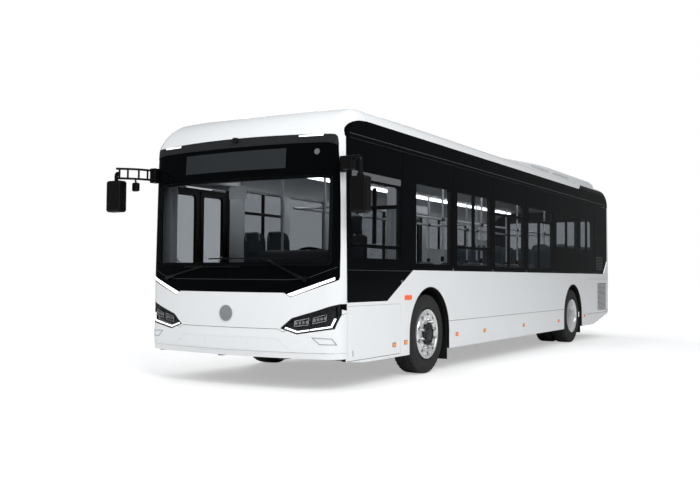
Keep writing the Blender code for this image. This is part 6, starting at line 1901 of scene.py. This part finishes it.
class BUS_OT_saloon(bpy.types.Operator):
    """Ceiling, light strips, cove panels, handrails, poles and floor nosings"""
    bl_idname = "bus.saloon"
    bl_label = "Saloon"

    def execute(self, context):
        half = [(0.0, 2.56), (0.6, 2.552), (0.86, 2.53), (1.05, 2.455), (1.165, 2.365), (1.2, 2.3)]
        top = [(x, z + 0.014) for x, z in half]
        line = [(-x, z) for x, z in half[:0:-1]] + half
        loop = line + [(x, z) for x, z in top[::-1]] + [(-x, z) for x, z in top[1:]]
        ceiling = plate([loop], "front", -1.56, 8.27)
        piece(ceiling, "saloon_ceiling", "ceiling", angle=50)
        strips, grilles = [], []
        for sign in (-1, 1):
            for number in range(LIGHT_COUNT):
                s0 = LIGHT_FIRST_S + LIGHT_PITCH * number
                strips.append(block((sign * 0.74 - 0.055, s0, 2.52), (sign * 0.74 + 0.055, s0 + 1.31, 2.5395),
                                    0.006))
                for k in range(6):
                    grilles.append(block((sign * 0.45 - 0.06, s0 + 0.15 + 0.16 * k, 2.546),
                                         (sign * 0.45 + 0.06, s0 + 0.19 + 0.16 * k, 2.5545), 0.002))
        piece(merged(*strips), "ceiling_lights", "ceiling_light")
        piece(merged(*grilles), "ceiling_grilles", "grille_grey")
        bars = [pipe([(sign * POLE_X, -0.52, 2.03), (sign * POLE_X, 7.6, 2.03)], 0.017, 3)
                for sign in (-1, 1)]
        bars += [pipe([(-POLE_X, s, 2.028), (POLE_X, s, 2.028)], POLE_RADIUS, 3) for s in (-0.44, 3.58, 7.5)]
        bars += [pipe([(-0.475, -0.65, ON_FLOOR_Z), (-0.475, -0.65, POLE_TOP_Z)], POLE_RADIUS, 3),
                 pipe([(0.335, -0.93, ON_FLOOR_Z), (0.335, -0.93, POLE_TOP_Z)], POLE_RADIUS, 3)]
        joints, buttons = [], []
        for sign, poles in ((1, (0.72, 2.24, 3.76, 5.46, 7.0)), (-1, (0.72, 2.24, 3.4, 5.0, 5.46, 7.0))):
            for s in poles:
                foot = ON_FLOOR_Z if s < 4.98 else ON_STEP_Z if s < 5.25 else ON_DECK_Z
                x = sign * POLE_X
                bars.append(pipe([(x, s, foot), (x, s, POLE_TOP_Z)], POLE_RADIUS, 3))
                joints.append(pipe([(x, s, foot), (x, s, foot + 0.022)], 0.03, 3))
                joints.append(block((x - 0.024, s - 0.04, 2.006), (x + 0.024, s + 0.04, 2.054), 0.01, 2))
                joints.append(block((x - 0.021, s - 0.021, 1.4), (x + 0.021, s + 0.021, 1.475), 0.006, 2))
                buttons.append(pipe([(x + sign * 0.018, s, 1.438), (x + sign * 0.026, s, 1.438)], 0.013, 3))
        piece(merged(*bars), "handrail_tubes", "rail_steel", replaces=("handrails",))
        piece(merged(*joints), "handrail_fittings", "moulded_seal", slot="rail_steel")
        piece(merged(*buttons), "stop_buttons", "red_lens", slot="rail_steel")
        nosings = [block((-0.42, s - 0.0005, z - 0.03), (0.42, s + 0.034, z + 0.003), 0.0012)
                   for s, z in ((4.98, 0.59), (5.25, 0.8))]
        piece(merged(*nosings), "step_nosings", "signal_yellow")
        posts = [block((-1.205, -2.02, 0.42), (-1.075, -1.905, 2.235), 0.012, 3),
                 block((1.105, -2.02, 1.15), (1.205, -1.905, 2.235), 0.012, 3)]
        piece(merged(*posts), "front_post_trims", "lining")
        liner = plate([inset_plan(0.075, -1.52)], "plan", 2.262, 2.284)
        piece(round_edges(liner, 0.006, 2), "cab_headliner", "ceiling")
        return {"FINISHED"}


class BUS_OT_cab(bpy.types.Operator):
    """Dashboard, steering wheel, driver's seat, screen and inner mirror"""
    bl_idname = "bus.cab"
    bl_label = "Cab"

    def execute(self, context):
        base = plate([inset_plan(0.086, -1.952)], "plan", ON_FLOOR_Z, 1.196)
        round_edges(base, 0.018, 3)
        side = block((0.205, -1.99, ON_CAB_Z), (1.186, -1.702, 1.196), 0.02, 3)
        hood = block((0.3, -2.02, 1.15), (1.02, -1.665, 1.396), 0.06, 5)
        hump = block((0.15, -2.09, 1.12), (1.16, -1.76, 1.445), 0.12, 8)
        shade = block((0.33, -1.7, 1.34), (0.99, -1.6, 1.372), 0.012, 3)
        column = pipe([(DRIVER_X, -1.515, 1.343), (DRIVER_X, -1.78, 0.823)], 0.038, 4, taper=1.35)
        stalks = [pipe([(DRIVER_X + sign * 0.03, -1.535, 1.3), (DRIVER_X + sign * 0.19, -1.56, 1.325)],
                       0.0065, 3)
                  for sign in (-1, 1)]
        group = merged(base, side, hood, hump, shade, column, *stalks)
        piece(group, "dashboard_mouldings", "dash_grey", replaces=("dashboard",))
        screens = [block((x - w, -1.668, 1.222), (x + w, -1.6605, 1.33), 0.003) for x, w in
                   ((DRIVER_X, 0.12), (0.4, 0.07), (0.86, 0.09))]
        piece(merged(*screens), "dashboard_displays", "display")
        keys = [block((0.33 + 0.045 * i, -1.7035, 1.1 - 0.045 * row),
                      (0.364 + 0.045 * i, -1.697, 1.13 - 0.045 * row),
                      0.003) for i in range(16) for row in range(2)]
        piece(merged(*keys), "dashboard_switches", "satin_grey")
        self.wheel()
        glass = plate([rounded(0.47, 1.33, 1.19, 1.96, 0.04)], "front", -0.676, -0.67)
        frame = plate([rounded(0.441, ON_CAB_Z, 1.213, 1.999, 0.03),
                       rounded(0.476, 1.336, 1.184, 1.954, 0.036)],
                      "front", -0.689, -0.656)
        piece(round_edges(frame, 0.005, 2), "cab_partition_frame", "moulded_seal",
              replaces=("driver_partition",))
        piece(glass, "cab_partition_glass", "door_glass")
        # The side panel glows faintly: painted light
        panel = block((1.02, -0.652, 0.62), (1.21, -0.64, 2.24), 0.004)
        folds = [block((1.03 + 0.06 * i, -0.668, 0.64), (1.062 + 0.06 * i, -0.65, 2.22), 0.006)
                 for i in range(3)]
        piece(merged(panel, *folds), "cab_side_panel", "mirror_back_painted_glow", slot="white_paint")
        self.seat()
        stalk = pipe([(-0.115, -1.99, 2.14), (-0.115, -1.985, 2.262)], 0.008, 3)
        back = block((-0.235, -2.012, 2.01), (0.005, -1.99, 2.148), 0.012, 3)
        face = block((-0.227, -1.9905, 2.018), (-0.003, -1.9885, 2.14), 0.0008)
        # The mirror's back glows faintly: painted light
        piece(merged(stalk, back), "saloon_mirror_back", "mirror_back_painted_glow")
        piece(face, "saloon_mirror_glass", "mirror_glass")
        return {"FINISHED"}

    def wheel(self):
        clear()
        bpy.ops.mesh.primitive_torus_add(major_radius=0.225, minor_radius=0.0158, major_segments=72,
                                         minor_segments=12)
        ring = bpy.context.object
        centre, lean = Vector((DRIVER_X, -1.5 + AXLE_Y, 1.37)), radians(27)
        axis = Vector((0, sin(lean), cos(lean)))
        turn = Matrix.Translation(centre) @ axis.to_track_quat("Z", "Y").to_matrix().to_4x4()
        clear()
        bpy.ops.mesh.primitive_cylinder_add(vertices=40, radius=0.052, depth=0.046)
        boss = bpy.context.object
        round_edges(boss, 0.01, 3)
        spokes = []
        for angle in (352, 188, 270):
            clear()
            bpy.ops.mesh.primitive_cube_add(size=1)
            spoke = bpy.context.object
            spoke.data.transform(Matrix.Diagonal((0.176, 0.03, 0.012, 1)))
            spoke.data.transform(Matrix.Translation((0.13, 0, 0)))
            spoke.data.transform(Matrix.Rotation(radians(angle), 4, "Z"))
            round_edges(spoke, 0.005, 3)
            spokes.append(spoke)
        group = merged(ring, boss, *spokes)
        group.data.transform(turn)
        piece(group, "steering_wheel_rim", "moulded_seal", body="steering_wheel",
              replaces=("steering_wheel",))

    def seat(self):
        x = DRIVER_X
        shell = [block((x - 0.235, -0.85, 1.0), (x + 0.235, -0.806, 1.64), 0.02, 3),
                 block((x - 0.24, -1.335, 0.955), (x + 0.24, -0.85, 0.995), 0.016, 3),
                 block((x - 0.06, -0.855, 1.6), (x + 0.06, -0.825, 1.72), 0.008, 2),
                 block((x - 0.15, -1.23, ON_CAB_Z), (x + 0.15, -0.93, 0.64), 0.008, 2)]
        shell += [block((x - 0.135 + 0.012 * (i % 2), -1.215 + 0.012 * (i % 2), 0.64 + 0.045 * i),
                        (x + 0.135 - 0.012 * (i % 2), -0.945 - 0.012 * (i % 2), 0.686 + 0.045 * i), 0.014, 2)
                  for i in range(7)]
        shell.append(pipe(rounded_path([(x - 0.262, -0.87, 1.24), (x - 0.262, -1.12, 1.24)], 0.02), 0.022, 3))
        group = merged(*shell)
        piece(group, "driver_seat_base", "moulded_seal", replaces=("driver_seat",), slot="seat_shell")
        for label, low, high, around in (
                ("cushion", (x - 0.235, -1.335, 0.985), (x + 0.235, -0.875, 1.068), "Z"),
                ("back", (x - 0.235, -0.925, 1.050), (x + 0.245, -0.842, 1.660), "Y"),
                ("head_rest", (x - 0.190, -0.915, 1.660), (x + 0.200, -0.835, 1.870), "Y")):
            pad = crowned(low, high, 0.4, 0.04, around)
            piece(pad, "driver_seat_" + label, "dark_fabric", angle=60)


class BUS_OT_band_details(bpy.types.Operator):
    """Light strips and louvres at the rear of the side bands"""
    bl_idname = "bus.band_details"
    bl_label = "Band Details"

    def execute(self, context):
        for side, sign in SIDES:
            strip = side_sheet(sign, [[(8.046, 1.262), (8.062, 1.25), (8.312, 1.488), (8.312, 1.516)]],
                               0.0002, 0.004)
            piece(strip, side + "_band_light_strip", "soft_light")
            if side == "left":
                # A thin grey line on the band's seam: a painted highlight along it
                line = side_sheet(sign, [rounded(-1.948, 1.234, -0.48, 1.2375, 0.001, 1)], 0.0001, 0.003)
                piece(line, "left_band_seam", "edge_painted_highlight", slot="black_glass")
                blind = side_sheet(sign, [rounded(-1.88, 2.2, -0.79, 2.272, 0.02)], 0.0001, 0.002)
                piece(blind, "cab_window_blind", "blind_grey")
            slats = [side_sheet(sign, [rounded(7.5, z, 8.0, z + 0.014, 0.005, 2)], 0.0001, 0.003)
                     for z in steps_between(1.33, 1.57, 8)]
            piece(merged(*slats), side + "_band_louvres", "grille_dark")
        return {"FINISHED"}


# Stage and camera

# The camera as it was worked out from the photo: place, turns (yaw, pitch, roll) in degrees, and lens
CAMERA_PLACE, CAMERA_TURNS, CAMERA_LENS = (5.7736, -12.366, 1.1767), (31.0248, 2.4712, 0.4019), 43.83
# Lamps: (name, place, aim, size, power)
LAMPS = (("key_lamp", (9, -10, 9), (0, -1, 1.4), 7, 1030),
         ("front_lamp", (-7, -13, 6), (0, -4, 1.4), 6, 290),
         ("roof_lamp", (0, 1, 12), (0, 1, 2), 9, 300),
         ("rear_lamp", (-9, 10, 7), (0, 2, 1.4), 7, 470))
# What the world gives to rays in general and to reflections, which keeps the black glass black
WORLD_LIT, WORLD_GLOSSY = 0.53, 0.2
# The floor's own light to the camera: from its value near the bus to that far off
FLOOR_FADE = {"From Min": 6.5, "From Max": 16, "To Min": 0.4, "To Max": 1.0}


class BUS_OT_stage(bpy.types.Operator):
    """Floor, studio lamps and the camera"""
    bl_idname = "bus.stage"
    bl_label = "Stage"

    def execute(self, context):
        scene = context.scene
        clear()
        bpy.ops.mesh.primitive_plane_add(size=160)
        floor = bpy.context.object
        floor.name = "studio_floor"
        floor.data.materials.append(pale_floor())
        world = scene.world or bpy.data.worlds.new("studio")
        scene.world = world
        world.use_nodes = True
        tree = world.node_tree
        tree.nodes.clear()
        lit = node(tree, "ShaderNodeBackground", Color=(0.93, 0.95, 0.97, 1))
        seen = node(tree, "ShaderNodeBackground", Color=(1, 1, 1, 1), Strength=1.0)
        path = tree.nodes.new("ShaderNodeLightPath")
        mix = tree.nodes.new("ShaderNodeMixShader")
        out = tree.nodes.new("ShaderNodeOutputWorld")
        through = node(tree, "ShaderNodeMath", operation="MAXIMUM")
        tree.links.new(path.outputs["Is Camera Ray"], through.inputs[0])
        tree.links.new(path.outputs["Is Transmission Ray"], through.inputs[1])
        tree.links.new(through.outputs[0], mix.inputs["Fac"])
        tree.links.new(lit.outputs[0], mix.inputs[1])
        tree.links.new(seen.outputs[0], mix.inputs[2])
        dim = node(tree, "ShaderNodeMapRange")
        dim.inputs["To Min"].default_value = WORLD_LIT
        dim.inputs["To Max"].default_value = WORLD_GLOSSY
        tree.links.new(path.outputs["Is Glossy Ray"], dim.inputs["Value"])
        tree.links.new(dim.outputs["Result"], lit.inputs["Strength"])
        tree.links.new(mix.outputs[0], out.inputs["Surface"])
        for name, place, aim, size, power in LAMPS:
            lamp = bpy.data.lights.new(name, "AREA")
            lamp.energy = power
            lamp.size = size
            holder = bpy.data.objects.new(name, lamp)
            scene.collection.objects.link(holder)
            holder.location = place
            holder.visible_glossy = name not in ("front_lamp", "roof_lamp")
            holder.rotation_euler = (Vector(aim) - Vector(place)).to_track_quat("-Z", "Y").to_euler()
        camera = bpy.data.cameras.new("camera")
        camera.lens = CAMERA_LENS
        camera.sensor_width = 36
        camera.clip_end = 200
        holder = bpy.data.objects.new("camera", camera)
        scene.collection.objects.link(holder)
        yaw, pitch, roll = [radians(turn) for turn in CAMERA_TURNS]
        forward = Vector((-sin(yaw) * cos(pitch), cos(yaw) * cos(pitch), sin(pitch)))
        level = Vector((cos(yaw), sin(yaw), 0))
        up = level.cross(forward)
        right = level * cos(roll) + up * sin(roll)
        top = up * cos(roll) - level * sin(roll)
        turn = Matrix((right, top, -forward)).transposed().to_4x4()
        turn.translation = CAMERA_PLACE
        holder.matrix_world = turn
        scene.camera = holder
        scene.view_settings.view_transform = "Standard"
        return {"FINISHED"}


def pale_floor():
    """White to the camera except where the bus shades it, which keeps its shadow."""
    material = bpy.data.materials.new("pale_floor")
    material.use_nodes = True
    tree = material.node_tree
    shader = tree.nodes["Principled BSDF"]
    shader.inputs["Base Color"].default_value = (0.78, 0.78, 0.78, 1)
    shader.inputs["Roughness"].default_value = 0.7
    shader.inputs["Emission Color"].default_value = (1, 1, 1, 1)
    path = tree.nodes.new("ShaderNodeLightPath")
    level = node(tree, "ShaderNodeMath", operation="MULTIPLY")
    place = tree.nodes.new("ShaderNodeTexCoord")
    apart = node(tree, "ShaderNodeVectorMath", operation="LENGTH")
    fade = node(tree, "ShaderNodeMapRange")
    for name, value in FLOOR_FADE.items():
        fade.inputs[name].default_value = value
    tree.links.new(place.outputs["Object"], apart.inputs[0])
    tree.links.new(apart.outputs["Value"], fade.inputs["Value"])
    tree.links.new(fade.outputs["Result"], level.inputs[1])
    tree.links.new(path.outputs["Is Camera Ray"], level.inputs[0])
    tree.links.new(level.outputs[0], shader.inputs["Emission Strength"])
    return material


class BUS_OT_carried_parts(bpy.types.Operator):
    """Finishes of the parts that are carried over from the frame as they are"""
    bl_idname = "bus.carried_parts"
    bl_label = "Carried Parts"

    def execute(self, context):
        slots = {row["node"]: row["material_slot"] for row in frame["record"]["subparts"]}
        for name, obj in NODES.items():
            for at in range(len(obj.material_slots)):
                obj.material_slots[at].material = skin(slots[name])
        return {"FINISHED"}


class BUS_PT_panel(bpy.types.Panel):
    """The bus's sizes, colours and steps"""
    bl_idname = "BUS_PT_panel"
    bl_label = "City Bus"
    bl_space_type = "VIEW_3D"
    bl_region_type = "UI"
    bl_category = "Bus"

    def draw(self, context):
        layout = self.layout
        for group in (context.scene.bus_sizes, context.scene.bus_colours):
            for key in group.bl_rna.properties.keys():
                if key not in ("rna_type", "name"):
                    layout.prop(group, key)
        for step in STEPS:
            layout.operator(step.bl_idname)


STEPS = (BUS_OT_stage, BUS_OT_carried_parts, BUS_OT_front_panels, BUS_OT_front_mask, BUS_OT_headlamps,
         BUS_OT_sides, BUS_OT_flaps, BUS_OT_markers, BUS_OT_roof, BUS_OT_roof_unit, BUS_OT_rear,
         BUS_OT_wheels, BUS_OT_mirrors, BUS_OT_wipers, BUS_OT_doors, BUS_OT_saloon, BUS_OT_seats,
         BUS_OT_cab, BUS_OT_band_details)
CLASSES = (BusSizes, BusColours, *STEPS, BUS_PT_panel)


def register():
    for each in CLASSES:
        bpy.utils.register_class(each)
    bpy.types.Scene.bus_sizes = PointerProperty(type=BusSizes)
    bpy.types.Scene.bus_colours = PointerProperty(type=BusColours)


def unregister():
    del bpy.types.Scene.bus_colours
    del bpy.types.Scene.bus_sizes
    for each in reversed(CLASSES):
        bpy.utils.unregister_class(each)


def main():
    register()
    for step in STEPS:
        group, name = step.bl_idname.split(".")
        getattr(getattr(bpy.ops, group), name)()
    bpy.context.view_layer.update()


if __name__ == "__main__":
    main()
